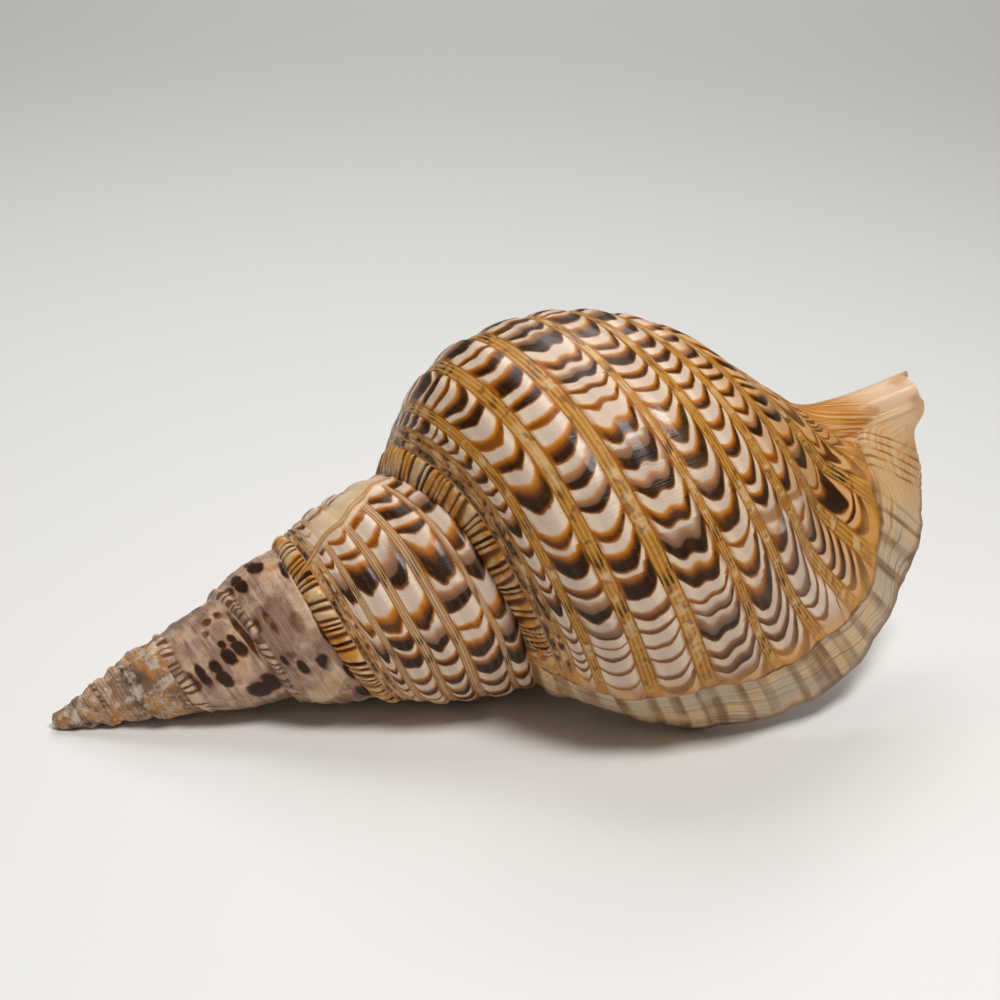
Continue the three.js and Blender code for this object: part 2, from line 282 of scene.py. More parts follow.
def relief_at(turn, row_place, across, strip):
    start, end = strip_starts[strip], strip_starts[np.minimum(strip + 1, len(STRIPS) - 1)]
    share = np.clip((row_place - start) / np.maximum(end - start, 1e-6), 0, 1)
    middle = 1 - (2 * share - 1) ** 2
    kind = strip_kinds[strip]
    beads = np.cos(2 * np.pi * beads_at(turn, row_place))
    wide_band = np.clip((end - start) / 0.1, 0.4, 1.1)
    height = np.where(kind == BAND, BAND_HEIGHT * wide_band * middle ** 0.5, 0.0)
    height = np.where(kind == GROOVE, RIBLET_HEIGHT * np.sin(2 * np.pi * share) ** 2, height)
    height = np.where(kind == CORD, (CORD_HEIGHT + BEAD_HEIGHT * beads) * middle ** 0.6, height)
    height = np.where((kind == BAND) & (row_place < 0.2), height * (1 + 0.4 * beads), height)
    size = (suture_radius(turn) / SUTURE_RADIUS_AT_LIP) ** 0.7
    height = np.where(kind == CORD, height, height * lerp(0.25, 1, smoothstep(turn, -2.6, -1.5)))
    height = np.where(kind == CORD, height * lerp(0.8, 1, smoothstep(turn, -4.0, -2.5)), height)
    swelling, nearest = varix_marks(turn, across)
    rounded = np.sin(np.pi * np.clip(across, 0.02, 0.98)) ** 0.5
    wide = VARIX_HEIGHT * suture_radius(turn) * rounded
    seam = SEAM_HEIGHT * size * rounded * np.exp(-(nearest / 0.0035) ** 2)
    past = past_lip_step(turn, across)
    step = STEP_HEIGHT * (np.exp(-(past / 0.0035) ** 2) - smoothstep(past, 0.0, 0.006))
    past_scar = turn - SCAR_TURN - SCAR_SLOPE * row_place
    scar_rows = smoothstep(row_place, *SCAR_RISE) * smoothstep(row_place, *SCAR_FALL)
    scar = np.exp(-((past_scar - 0.008) / 0.008) ** 2) - 0.6 * np.exp(-((past_scar + 0.006) / 0.005) ** 2)
    scar = SCAR_HEIGHT * scar * scar_rows * (0.4 + 0.6 * middle)
    dent = DENT_DEPTH * rounded * np.exp(-((turn - DENT_TURN) / DENT_REACH) ** 2)
    fade = np.clip((2 - across) * 2, 0, 1)
    height = height * size * (1 - 0.75 * swelling) * (1 - 0.55 * smoothstep(past, -0.003, 0.004))
    return (height + (wide * swelling + seam) * (across < 1) + step * size + scar - dent) * fade


def lip_ridges(turn, row_place):
    """Rolled edge of the lip beside the canal and its spiral ridges, measured along the surface normal."""
    across = across_at(turn, row_place)
    past = past_lip_step(turn, across)
    rolled = ROLL_HEIGHT * smoothstep(past, -0.004, 0.012) * smoothstep(past, 0.09, 0.02)
    ear = row_place - RIDGE_SLANT * turn
    ridged = smoothstep(ear, *EAR_RISE) * smoothstep(ear, *EAR_FALL) * smoothstep(past, 0, 0.01)
    ridges = RIDGE_HEIGHT * np.cos(2 * np.pi * RIDGES * (ear - RIDGE_START))
    return smoothstep(across, 1.5, 1.66) * (rolled - ridged * ridges) * smoothstep(row_place, 2.0, 1.9)


print("cells on the last turn", float(cells_at(np.array(0.0)) - cells_at(np.array(-1.0))))

# %% [markdown]
# ## Crescents
# Along each band the snail laid down a row of crescents, some darker than others.
# The side that lies upward shows them best, so there each crescent is given as a turn and a darkness of
# 0 to 9. The other sides go on in the same manner from a fixed random start. A crescent leans across its
# band, and the numbers at the start of each list count the strips from the suture.

# %% Crescents along the bands
SEEN_CRESCENTS = {
    6: [(-2.44, 6), (-2.40, 7), (-2.29, 4), (-2.19, 6), (-1.36, 3), (-1.33, 2), (-1.27, 8), (-1.215, 2),
        (-1.168, 8), (-1.145, 3), (-1.12, 5), (-0.44, 6), (-0.415, 7), (-0.403, 2), (-0.386, 4),
        (-0.37, 2), (-0.35, 5), (-0.33, 5), (-0.317, 3), (-0.30, 3), (-0.275, 8), (-0.257, 3),
        (-0.236, 3), (-0.225, 3), (-0.203, 9), (-0.187, 3), (-0.176, 5), (-0.165, 3), (-0.155, 3),
        (-0.145, 4), (-0.13, 4)],
    8: [(-2.44, 7), (-2.405, 8), (-2.36, 2), (-2.29, 5), (-2.245, 2), (-2.19, 8), (-2.14, 2), (-1.36, 1),
        (-1.33, 2), (-1.275, 8), (-1.214, 2), (-1.185, 8), (-1.155, 8), (-1.12, 2), (-1.09, 5),
        (-0.452, 8), (-0.440, 8), (-0.421, 2), (-0.393, 5), (-0.374, 7), (-0.345, 1), (-0.322, 4),
        (-0.285, 6), (-0.256, 2), (-0.233, 8), (-0.217, 4), (-0.196, 8), (-0.182, 6), (-0.173, 2),
        (-0.162, 3), (-0.147, 3), (-0.126, 2)],
    10: [(-2.46, 5), (-2.43, 7), (-2.38, 2), (-2.30, 4), (-2.24, 1), (-2.19, 7), (-2.13, 3), (-1.38, 1),
         (-1.34, 1), (-1.27, 7), (-1.212, 3), (-1.175, 7), (-1.15, 4), (-1.112, 3), (-1.08, 6),
         (-0.45, 8), (-0.431, 2), (-0.405, 4), (-0.378, 7), (-0.36, 4), (-0.341, 1), (-0.312, 4),
         (-0.292, 6), (-0.272, 6), (-0.251, 2), (-0.228, 5), (-0.208, 9), (-0.191, 5), (-0.181, 3),
         (-0.168, 2), (-0.153, 3), (-0.132, 3)],
    12: [(-2.46, 3), (-2.43, 7), (-2.38, 3), (-2.30, 4), (-2.24, 2), (-2.19, 8), (-2.13, 4), (-1.39, 3),
         (-1.36, 8), (-1.33, 4), (-1.257, 7), (-1.223, 9), (-1.193, 1), (-1.155, 5), (-1.12, 9),
         (-1.09, 4), (-0.451, 4), (-0.430, 7), (-0.401, 9), (-0.378, 3), (-0.363, 7), (-0.352, 2),
         (-0.338, 1), (-0.311, 4), (-0.290, 9), (-0.268, 6), (-0.246, 4), (-0.223, 9), (-0.201, 7),
         (-0.190, 1), (-0.178, 6), (-0.158, 9), (-0.136, 5), (-0.113, 8), (-0.093, 8)],
    14: [(-2.43, 3), (-2.385, 7), (-2.31, 3), (-2.26, 7), (-2.21, 4), (-2.15, 6), (-2.10, 7), (-1.39, 2),
         (-1.355, 7), (-1.295, 3), (-1.25, 9), (-1.20, 3), (-1.165, 8), (-1.122, 9), (-1.09, 3),
         (-0.456, 2), (-0.432, 8), (-0.404, 7), (-0.384, 3), (-0.366, 7), (-0.352, 4), (-0.338, 2),
         (-0.322, 3), (-0.298, 5), (-0.275, 6), (-0.251, 7), (-0.228, 5), (-0.214, 1), (-0.188, 3),
         (-0.155, 9), (-0.134, 6), (-0.111, 7), (-0.085, 6)],
    16: [(-0.436, 7), (-0.408, 4), (-0.386, 5), (-0.369, 6), (-0.355, 3), (-0.340, 3), (-0.320, 3),
         (-0.30, 2), (-0.277, 4), (-0.252, 3), (-0.231, 5), (-0.19, 4), (-0.157, 6), (-0.124, 6),
         (-0.104, 3), (-0.084, 3)],
    18: [(-0.423, 3), (-0.403, 5), (-0.378, 6), (-0.361, 3), (-0.349, 4), (-0.331, 4), (-0.310, 2),
         (-0.287, 6), (-0.260, 1), (-0.236, 5), (-0.195, 1), (-0.150, 7), (-0.125, 6), (-0.104, 4),
         (-0.085, 5), (-0.067, 4)],
    20: [(-0.40, 3), (-0.375, 7), (-0.360, 2), (-0.348, 5), (-0.323, 6), (-0.299, 9), (-0.266, 3),
         (-0.227, 9), (-0.18, 0), (-0.103, 9), (-0.092, 4), (-0.070, 5)],
    22: [(-0.36, 1), (-0.29, 7), (-0.23, 0), (-0.135, 8), (-0.09, 5)],
    24: [(-0.32, 4), (-0.22, 0), (-0.15, 2), (-0.09, 6)]}
BAND_LEAN = [(0.2, 0.0), (0.32, 0.05), (0.49, 0.22), (0.69, 0.06), (0.86, 0.40), (1.02, 0.55), (1.17, 0.5),
             (1.35, 0.2)]
YOUNG, FAR_ROWS = (-0.8, -0.6), (0.74, 0.86)
BOW_NEAR, BOW_FAR, SPIRE_BOW = 0.40, 0.55, 0.7
LOBE, LOBE_RISE, LOBE_FALL = 0.10, (0.55, 0.62), (0.84, 0.76)
UNEVEN_LEAN, UNEVEN_BOW, UNEVEN_WAVE = 0.16, 0.16, 0.07
chance = np.random.default_rng(5)


def spread(turn):
    return 1 / (CELL_RATE * RADIAL_GROWTH ** (turn + 0.3))


def row_of_crescents(seen, finer):
    """Turns of the crescent edges of one band from tip to lip, with the darkness of each."""
    edges, darks = [-TURNS - 0.5], [0.3]
    season = 0.5
    while edges[-1] < 0.1:
        season = np.clip(season + chance.uniform(-0.45, 0.45), 0, 1)
        edges.append(edges[-1] + spread(edges[-1]) * chance.uniform(0.7, 1.35) / finer)
        darks.append(np.clip(season + chance.uniform(-0.4, 0.4), 0, 1))
    edges, darks = np.array(edges), np.array(darks)
    if seen:
        placed = np.array(seen)
        gap = 1.5 * spread(placed[:, 0])
        clear = (abs(edges[:, None] - placed[None, :, 0]) > gap * 0.45).all(axis=1)
        between = np.interp(edges, placed[:, 0], np.arange(len(placed)))
        before = np.clip(np.floor(between).astype(int), 0, len(placed) - 2)
        inside = (edges > placed[0, 0]) & (edges < placed[-1, 0])
        known = inside & (placed[before + 1, 0] - placed[before, 0] < 0.1)
        keep = clear & ~known
        edges = np.r_[edges[keep], placed[:, 0]]
        darks = np.r_[darks[keep], placed[:, 1] / 9]
    order = np.argsort(edges)
    return edges[order], darks[order], chance.uniform(-1, 1, (3, len(edges)))


rows_of_crescents = {}
for index, (_, kind, _) in enumerate(STRIPS[:-1]):
    if kind == BAND:
        rows_of_crescents[index] = row_of_crescents(SEEN_CRESCENTS.get(index), 2 if index < 6 else 1)
for index in range(len(STRIPS) - 1):
    if index not in rows_of_crescents:
        rows_of_crescents[index] = rows_of_crescents[min(max(index - 1, 6), CANAL_STRIP - 1)]


def crescent_maps(turn, row_place, side, strip):
    """Place along the row of crescents and darkness of the crescent there."""
    lean = np.interp(row_place, *np.array(BAND_LEAN).T)
    young = smoothstep(turn, *YOUNG)
    bow = lerp(BOW_NEAR, BOW_FAR, smoothstep(row_place, *FAR_ROWS)) * lerp(SPIRE_BOW, 1, young) * side ** 2
    widest = smoothstep(row_place, *LOBE_RISE) * smoothstep(row_place, *LOBE_FALL)
    lobes = LOBE * np.cos(2 * np.pi * side) * widest * young
    phase, darkness = np.zeros_like(turn), np.zeros_like(turn)
    for index, (edges, darks, variety) in rows_of_crescents.items():
        here = strip == index
        count = np.arange(len(edges))
        place_in_row = np.interp(turn[here], edges, count)
        more_lean, more_bow, more_wave = (np.interp(place_in_row, count, values) for values in variety)
        off = side[here]
        phase[here] = (place_in_row + (lean[here] + UNEVEN_LEAN * more_lean) * off
                       + UNEVEN_BOW * more_bow * off ** 2 + UNEVEN_WAVE * more_wave * np.sin(5 * off))
        cell = np.floor(phase[here] + bow[here] + lobes[here] - 0.12).astype(int) + 1
        darkness[here] = darks[np.clip(cell, 0, len(darks) - 1)]
    return phase, darkness


print({index: len(row[0]) for index, row in rows_of_crescents.items()}, "crescents in each strip")

# %% [markdown]
# ## Round blotches of the old whorls
# On the older whorls the bands have faded to rose and cream, and single round blotches are left of the
# crescents. The ones on the upward side are listed.

# %% Blotches of the old whorls
# Turn, row, half its length in turns, half its width in rows, darkness of 0 to 9
OLD_BLOTCHES = [
    (-2.438, 0.285, 0.019, 0.055, 9), (-2.405, 0.300, 0.020, 0.060, 9), (-2.465, 0.540, 0.017, 0.060, 6),
    (-2.432, 0.565, 0.021, 0.080, 9), (-2.386, 0.850, 0.022, 0.045, 8), (-2.430, 0.870, 0.012, 0.030, 3),
    (-2.292, 0.350, 0.024, 0.050, 5), (-2.275, 0.660, 0.024, 0.090, 4), (-2.217, 0.360, 0.007, 0.060, 4),
    (-2.186, 0.390, 0.015, 0.055, 9), (-2.222, 0.680, 0.005, 0.060, 3), (-2.192, 0.670, 0.017, 0.075, 9),
    (-2.205, 0.220, 0.012, 0.035, 7), (-2.146, 0.645, 0.006, 0.055, 3), (-2.130, 0.330, 0.005, 0.030, 3),
    (-2.155, 0.870, 0.016, 0.030, 7), (-2.250, 0.885, 0.028, 0.030, 7), (-2.090, 0.830, 0.024, 0.060, 8),
    (-2.300, 0.120, 0.018, 0.100, 6), (-2.420, 0.110, 0.022, 0.090, 7),
    (-3.225, 0.270, 0.036, 0.045, 8), (-3.238, 0.425, 0.020, 0.048, 8), (-3.200, 0.430, 0.024, 0.055, 9),
    (-3.215, 0.110, 0.035, 0.080, 8), (-3.255, 0.590, 0.022, 0.055, 9), (-3.290, 0.610, 0.012, 0.035, 7),
    (-3.262, 0.730, 0.022, 0.055, 9), (-3.296, 0.725, 0.012, 0.035, 7), (-3.385, 0.615, 0.016, 0.055, 5),
    (-3.388, 0.765, 0.016, 0.045, 6), (-3.130, 0.690, 0.026, 0.100, 9), (-3.145, 0.800, 0.030, 0.070, 9),
    (-3.345, 0.520, 0.012, 0.045, 5), (-3.300, 0.850, 0.080, 0.030, 6)]
BLOTCH_SPREAD = 1.25
print(len(OLD_BLOTCHES), "blotches placed on the old whorls")

# %% [markdown]
# ## Rolling up the sheets
# Each stretch of shell starts as a flat grid primitive whose columns are turns and whose rows are places
# across the edge. The growth rule then rolls it up. Five UV maps keep what the finish needs to know at each
# corner: the count of beads and the row, the place across the band and its strip, the lip and varix, the old
# lips' seams and the turn, and the crescents. The lip's edge is slightly scalloped.

# %% Sheets
COLUMNS = 440
EARLY_COLUMNS = COLUMNS // 5
LATE_START = -2
LIP_SCALLOP, SCALLOP_RATE, SEAM_CLIP = 0.0024, 46.0, 0.03
UV_NAMES = ["growth", "band", "marks", "lines", "spots"]


def vectors(piece, kind="co"):
    """Places or normals of all vertices, one per line."""
    flat = np.empty(len(piece.data.vertices) * 3)
    piece.data.vertices.foreach_get(kind, flat)
    return flat.reshape(-1, 3)


def select_only(*pieces):
    bpy.ops.object.select_all(action="DESELECT")
    for piece in pieces:
        piece.select_set(True)
    bpy.context.view_layer.objects.active = pieces[0]


def new_grid(name, columns, rows):
    bpy.ops.mesh.primitive_grid_add(x_subdivisions=columns, y_subdivisions=rows, size=2, calc_uvs=True)
    piece = bpy.context.object
    piece.name = name
    flat = vectors(piece)
    column = np.rint((flat[:, 0] + 1) / 2 * columns).astype(int)
    row = np.rint((flat[:, 1] + 1) / 2 * rows).astype(int)
    return piece, column, row


def set_places(piece, points):
    piece.data.vertices.foreach_set("co", np.asarray(points, float).ravel())
    piece.data.update()


def set_maps(piece, maps):
    layers = piece.data.uv_layers
    while layers:
        layers.remove(layers[0])
    for name in UV_NAMES:
        layers.new(name=name)
    for name in UV_NAMES:
        layers[name].data.foreach_set("uv", np.asarray(maps[name], float).ravel())


def corner_vertices(mesh):
    corners = np.empty(len(mesh.loops), int)
    mesh.loops.foreach_get("vertex_index", corners)
    return corners


def shell_sheet(name, from_turn, to_turn, columns, rows):
    piece, column, row = new_grid(name, columns, rows)
    turn = lerp(from_turn, to_turn, column / columns)
    row_place = row_places[row]
    across = across_at(turn, row_place)
    strip = row_strips[np.minimum(row, len(row_strips) - 1)]
    height = relief_at(turn, row_place, across, strip)
    seam = (row == 0) | ((row == SPIRE_ROWS) & ((turn <= -1) | (rows == SPIRE_ROWS)))
    height = np.where(seam, 0, height)
    if from_turn == LATE_START:
        turn = np.where(row == 0, np.rint(turn * EARLY_COLUMNS) / EARLY_COLUMNS, turn)
    rim_wave = np.sin(SCALLOP_RATE * row_place + 2 * np.sin(9 * row_place))
    scallop = LIP_SCALLOP * rim_wave * smoothstep(turn, -0.03, 0)
    inside = smoothstep(row_place, 0.0, 0.1) * smoothstep(row_place, 2.0, 1.9)
    along, radius, azimuth = growth_point(turn + scallop * inside, across, height)
    chips = np.abs(np.sin(np.radians(azimuth) * 1.5 + 0.6)) + 0.3 * np.sin(np.radians(azimuth) * 5)
    along = along - CHIP_DEPTH * chips * smoothstep(row_place, 1.86, 2.0)
    points = place(along, radius, azimuth)
    set_places(piece, points)
    if rows > SPIRE_ROWS:
        outward = vectors(piece, "normal")
        radial = points * (0, 1, 1)
        outward = outward * np.sign((outward * radial).sum(axis=1).mean())
        set_places(piece, points + outward * lip_ridges(turn, row_place)[:, None])
    corners = corner_vertices(piece.data)
    face_row = row[corners].reshape(-1, 4).min(axis=1)
    face_strip = np.repeat(row_strips[face_row], 4)
    start, end = strip_starts[face_strip], strip_starts[face_strip + 1]
    side = 2 * (row_place[corners] - start) / (end - start) - 1
    swelling, nearest = varix_marks(turn, across)
    swelling = swelling * smoothstep(across, 1.02, 0.85)
    seam_place = np.clip(nearest, -SEAM_CLIP, SEAM_CLIP)
    phase, darkness = crescent_maps(turn[corners], row_place[corners], side, face_strip)
    set_maps(piece, {
        "spots": np.stack([phase, darkness], -1),
        "growth": np.stack([beads_at(turn, row_place)[corners], row_place[corners]], -1),
        "band": np.stack([side, face_strip], -1),
        "marks": np.stack([past_lip_step(turn, across)[corners], swelling[corners]], -1),
        "lines": np.stack([seam_place[corners], turn[corners]], -1)})
    return piece


early = shell_sheet("early whorls", -TURNS, LATE_START, EARLY_COLUMNS * (LATE_START + TURNS), SPIRE_ROWS)
late = shell_sheet("late whorl", LATE_START, -1, COLUMNS, SPIRE_ROWS)
body = shell_sheet("body whorl", -1, 0, COLUMNS, len(row_places) - 1)
for piece in (early, late, body):
    print(piece.name, len(piece.data.polygons), "faces")

# %% [markdown]
# ## Closing the skin
# The old tip of a grown shell is worn blunt, so it gets a small dome. The canal's end is closed by rings
# that sink into it and meet in a point, and a ruled sheet spans the mouth for now. Welding the shared edges
# makes one closed skin, ready to be hollowed.

# %% Closed skin
TIP, DOME_RINGS, WELD = 1.2, 5, 0.004
# Share of the canal's radius and depth behind its end, in mm
CANAL_RINGS = [(0.92, -0.3), (0.76, 0.2), (0.64, 2.5), (0.5, 9.0)]
CANAL_DEPTH = 14.0


def sheet_points(piece, columns, rows):
    return vectors(piece).reshape(rows + 1, columns + 1, 3)


early_points = sheet_points(early, EARLY_COLUMNS * (LATE_START + TURNS), SPIRE_ROWS)
body_points = sheet_points(body, COLUMNS, len(row_places) - 1)


def patch(name, points, faces, *values):
    """A piece of skin with one value for each UV map."""
    mesh = bpy.data.meshes.new(name)
    mesh.from_pydata([tuple(point) for point in points], [], faces)
    piece = bpy.data.objects.new(name, mesh)
    bpy.context.collection.objects.link(piece)
    corners = corner_vertices(mesh)
    set_maps(piece, {key: np.tile(np.asarray(value, float), (len(corners), 1))
                     for key, value in zip(UV_NAMES, values)})
    return piece


def close_rings(rings, end_point):
    """Points and faces of a surface that runs from ring to ring and ends in one point."""
    count = len(rings[0])
    points = np.vstack(list(rings) + [[end_point]])
    faces = []
    for ring in range(len(rings)):
        for step in range(count):
            here, after = ring * count + step, ring * count + (step + 1) % count
            if ring == len(rings) - 1:
                faces.append((here, after, len(points) - 1))
            else:
                faces.append((here, after, after + count, here + count))
    return points, faces


tip_loop = np.vstack([early_points[0, :EARLY_COLUMNS + 1], early_points[1:SPIRE_ROWS, 0][::-1]])
rings = []
for ring in range(DOME_RINGS):
    angle = math.pi / 2 * (1 - ring / DOME_RINGS)
    dome = tip_loop * (1, math.sin(angle), math.sin(angle))
    dome[:, 0] = TIP + (tip_loop[:, 0] - TIP) * (1 - math.cos(angle))
    rings.append(dome)
apex = patch("apex", *close_rings(rings, (TIP, 0, 0)),
             (0.2, 0.5), (0, 8), (-1, 0), (SEAM_CLIP, -TURNS), (0.3, 0))

canal_loop = body_points[-1]
rings = [canal_loop]
for share, recess in CANAL_RINGS:
    rings.append(canal_loop * (1, share, share) - (recess, 0, 0))
canal_end = patch("canal end", *close_rings(rings, (LENGTH - CANAL_DEPTH, 0, 0)),
                  (0, 1.98), (0, CANAL_STRIP), (-1, 0), (SEAM_CLIP, -0.5), (0.3, 0))

lip_edge, inner_edge = body_points[:, -1], body_points[SPIRE_ROWS:, 0]
mouth_points = np.vstack([lip_edge, inner_edge])
mouth_faces, outer, inner = [], 0, 0
while outer < len(lip_edge) - 1 or inner < len(inner_edge) - 1:
    step_outer = (outer + 1) / (len(lip_edge) - 1) <= (inner + 1) / (len(inner_edge) - 1)
    ahead = outer + 1 if step_outer else len(lip_edge) + inner + 1
    if outer or inner:
        mouth_faces.append((outer, len(lip_edge) + inner, ahead))
    outer, inner = outer + step_outer, inner + (not step_outer)
mouth = patch("mouth", mouth_points, mouth_faces,
              (0, 1), (0, CANAL_STRIP), (0.1, 0), (SEAM_CLIP, 0), (0.3, 0))

select_only(body, early, late, apex, canal_end, mouth)
bpy.ops.object.join()
shell = bpy.context.object
shell.name = "triton_shell"
bpy.ops.object.mode_set(mode="EDIT")
bpy.ops.mesh.select_all(action="SELECT")
bpy.ops.mesh.remove_doubles(threshold=WELD)
bpy.ops.mesh.dissolve_degenerate(threshold=1e-5)
bpy.ops.mesh.select_all(action="SELECT")
bpy.ops.mesh.normals_make_consistent(inside=False)
bpy.ops.mesh.select_all(action="DESELECT")
bpy.ops.mesh.select_mode(type="EDGE")
bpy.ops.mesh.select_non_manifold()
bpy.ops.object.mode_set(mode="OBJECT")
open_edges = sum(edge.select for edge in shell.data.edges)
print("closed skin:", len(shell.data.polygons), "faces,", open_edges, "open edges")

# %% [markdown]
# ## Worn tip
# The oldest whorls are the most eroded. A few waves in random directions, from a fixed start, move the skin
# in and out along its normals there, and fade out towards the younger whorls.

# %% Worn tip
WORN_FROM, WORN_TO, LUMP_HEIGHT, LUMP_COUNT = 72.0, 22.0, 0.5, 16
LUMP_SHORTEST, LUMP_LONGEST = 3.6, 12.0
wear = np.random.default_rng(8)
directions = wear.normal(size=(LUMP_COUNT, 3))
directions /= np.linalg.norm(directions, axis=1)[:, None]
waves = directions * 2 * np.pi / wear.uniform(LUMP_SHORTEST, LUMP_LONGEST, LUMP_COUNT)[:, None]
starts = wear.uniform(0, 2 * np.pi, LUMP_COUNT)
skin = vectors(shell)
lumps = np.sin(skin @ waves.T + starts).sum(axis=1) / math.sqrt(LUMP_COUNT / 2)
worn = LUMP_HEIGHT * lumps * smoothstep(skin[:, 0], WORN_FROM, WORN_TO)
set_places(shell, skin + vectors(shell, "normal") * worn[:, None])
print("worn by", float(worn.min()), "to", float(worn.max()), "mm")

# %% [markdown]
# ## Hollow and canal
# The snail lived in a tube that winds up inside the wall. A rolled-up grid gives the tube, and a Boolean
# takes it out of the skin, which leaves a thin wall at the lip. A second, narrow tube opens the canal.

# %% Hollow
WALL, RIM_WALL = 3.0, 2.0
HOLLOW_DEPTH, HOLLOW_OVERRUN, HOLLOW_TAPER, HOLLOW_LIP_START = -1.25, 0.05, 0.3, -0.12
HOLLOW_COLUMNS, HOLLOW_ROWS = 120, 48
OUTER_START, OUTER_END, OUTER_END_AT_LIP = 0.07, 1.56, 1.9
INNER_START, INNER_END, INNER_END_AT_LIP = 1.03, 1.82, 1.88
CANAL_GROOVE = [(262, 20), (280, 10), (296, 7.2), (314, 6.8), (336, 7)]
CANAL_GROOVE_RADIUS, CANAL_GROOVE_AZIMUTH = 4.6, 173.0
GROOVE_COLUMNS, GROOVE_ROWS = 24, 20
inside_material = bpy.data.materials.new("shell inside")


def hollow_points(growth, around):
    turn = lerp(HOLLOW_DEPTH, HOLLOW_OVERRUN, growth)
    on_outer = around <= 0.5
    share = np.where(on_outer, around * 2, 2 - around * 2)
    at_lip = smoothstep(turn, HOLLOW_LIP_START, 0)
    outer = growth_point(turn, lerp(OUTER_START, lerp(OUTER_END, OUTER_END_AT_LIP, at_lip), share))
    inner = growth_point(turn - 1, lerp(INNER_START, lerp(INNER_END, INNER_END_AT_LIP, at_lip), share))
    gap = np.hypot(outer[0] - inner[0], outer[1] - inner[1])
    inset = np.minimum(lerp(WALL, RIM_WALL, smoothstep(turn, FLARE_START, 0)) / gap, 0.4)
    closing = 0.5 - 0.5 * smoothstep(turn, HOLLOW_DEPTH, HOLLOW_DEPTH + HOLLOW_TAPER)
    blend = lerp(np.where(on_outer, inset, 1 - inset), 0.5, closing)
    return place(lerp(outer[0], inner[0], blend), lerp(outer[1], inner[1], blend), outer[2])


def close_tube(piece):
    select_only(piece)
    bpy.ops.object.mode_set(mode="EDIT")
    bpy.ops.mesh.select_all(action="SELECT")
    bpy.ops.mesh.remove_doubles(threshold=WELD)
    bpy.ops.mesh.fill_holes(sides=0)
    bpy.ops.mesh.select_all(action="SELECT")
    bpy.ops.mesh.quads_convert_to_tris()
    bpy.ops.mesh.normals_make_consistent(inside=False)
    bpy.ops.object.mode_set(mode="OBJECT")
    piece.data.materials.append(inside_material)


def tube_maps(piece, along, around):
    corners = corner_vertices(piece.data)
    along, around = along[corners], around[corners]
    around = around.reshape(-1, 4)
    wraps = (around.max(axis=1) - around.min(axis=1))[:, None] > 0.5
    around = np.where(wraps, around + (around < 0.5), around)
    maps = dict.fromkeys(UV_NAMES, np.zeros((len(corners), 2)))
    maps["growth"] = np.stack([along, around.ravel()], -1)
    set_maps(piece, maps)


tube, column, row = new_grid("hollow", HOLLOW_COLUMNS, HOLLOW_ROWS)
set_places(tube, hollow_points(column / HOLLOW_COLUMNS, (row % HOLLOW_ROWS) / HOLLOW_ROWS))
tube_maps(tube, lerp(HOLLOW_DEPTH, HOLLOW_OVERRUN, column / HOLLOW_COLUMNS), row / HOLLOW_ROWS)
close_tube(tube)

groove, column, row = new_grid("canal groove", GROOVE_COLUMNS, GROOVE_ROWS)
groove_line = curve_through(CANAL_GROOVE, 20)
centre_along = on_line(groove_line, column / GROOVE_COLUMNS, 0)
centre_radius = on_line(groove_line, column / GROOVE_COLUMNS, 1)
round_angle = 2 * np.pi * (row % GROOVE_ROWS) / GROOVE_ROWS
cosine, sine = np.cos(round_angle), np.sin(round_angle)
groove_points = place(centre_along, centre_radius, CANAL_GROOVE_AZIMUTH)
spoke = np.radians(CANAL_GROOVE_AZIMUTH)
groove_points[:, 1] -= CANAL_GROOVE_RADIUS * (np.sin(spoke) * cosine + np.cos(spoke) * sine)
groove_points[:, 2] += CANAL_GROOVE_RADIUS * (np.cos(spoke) * cosine - np.sin(spoke) * sine)
set_places(groove, groove_points)
tube_maps(groove, column / GROOVE_COLUMNS, row / GROOVE_ROWS)
close_tube(groove)

shell.data.materials.append(bpy.data.materials.new("shell outside"))
for cutter in (tube, groove):
    cut = shell.modifiers.new(cutter.name, "BOOLEAN")
    cut.operation = "DIFFERENCE"
    cut.solver = "MANIFOLD"
    cut.object = cutter
    cut.material_mode = "TRANSFER"
    select_only(shell)
    bpy.ops.object.modifier_apply(modifier=cut.name)
    bpy.data.objects.remove(cutter, do_unlink=True)
print("hollowed:", len(shell.data.polygons), "faces,", [slot.name for slot in shell.data.materials])

# %% [markdown]
# ## Lying on its mouth side
# The shell lies on the body whorl, the lip and the tip, tilted so that the spire slopes down. The turn and
# the shift below bring the axis into that pose, and whatever reaches below the surface is cut flush.

# %% Rest pose
ROLL, TILT, SMOOTH_BELOW = -11.7, 17.5, 45
SHIFT = np.array([-158.700, 5.1487, 1.6383])
lay = np.array(Matrix.Rotation(math.radians(-TILT), 3, "Y") @ Matrix.Rotation(math.radians(ROLL), 3, "X"))
laid = (vectors(shell) @ lay.T + SHIFT) / 1000
laid[:, 2] = np.maximum(laid[:, 2], 0)
set_places(shell, laid)
triangles = sum(len(face.vertices) - 2 for face in shell.data.polygons)
bpy.ops.object.shade_smooth_by_angle(angle=math.radians(SMOOTH_BELOW))
print("laid box", laid.min(axis=0), laid.max(axis=0), "with", triangles, "triangles")

# %% [markdown]
# ## Painting tools
# The colours are drawn by shader nodes, with small helpers that read like formulas.

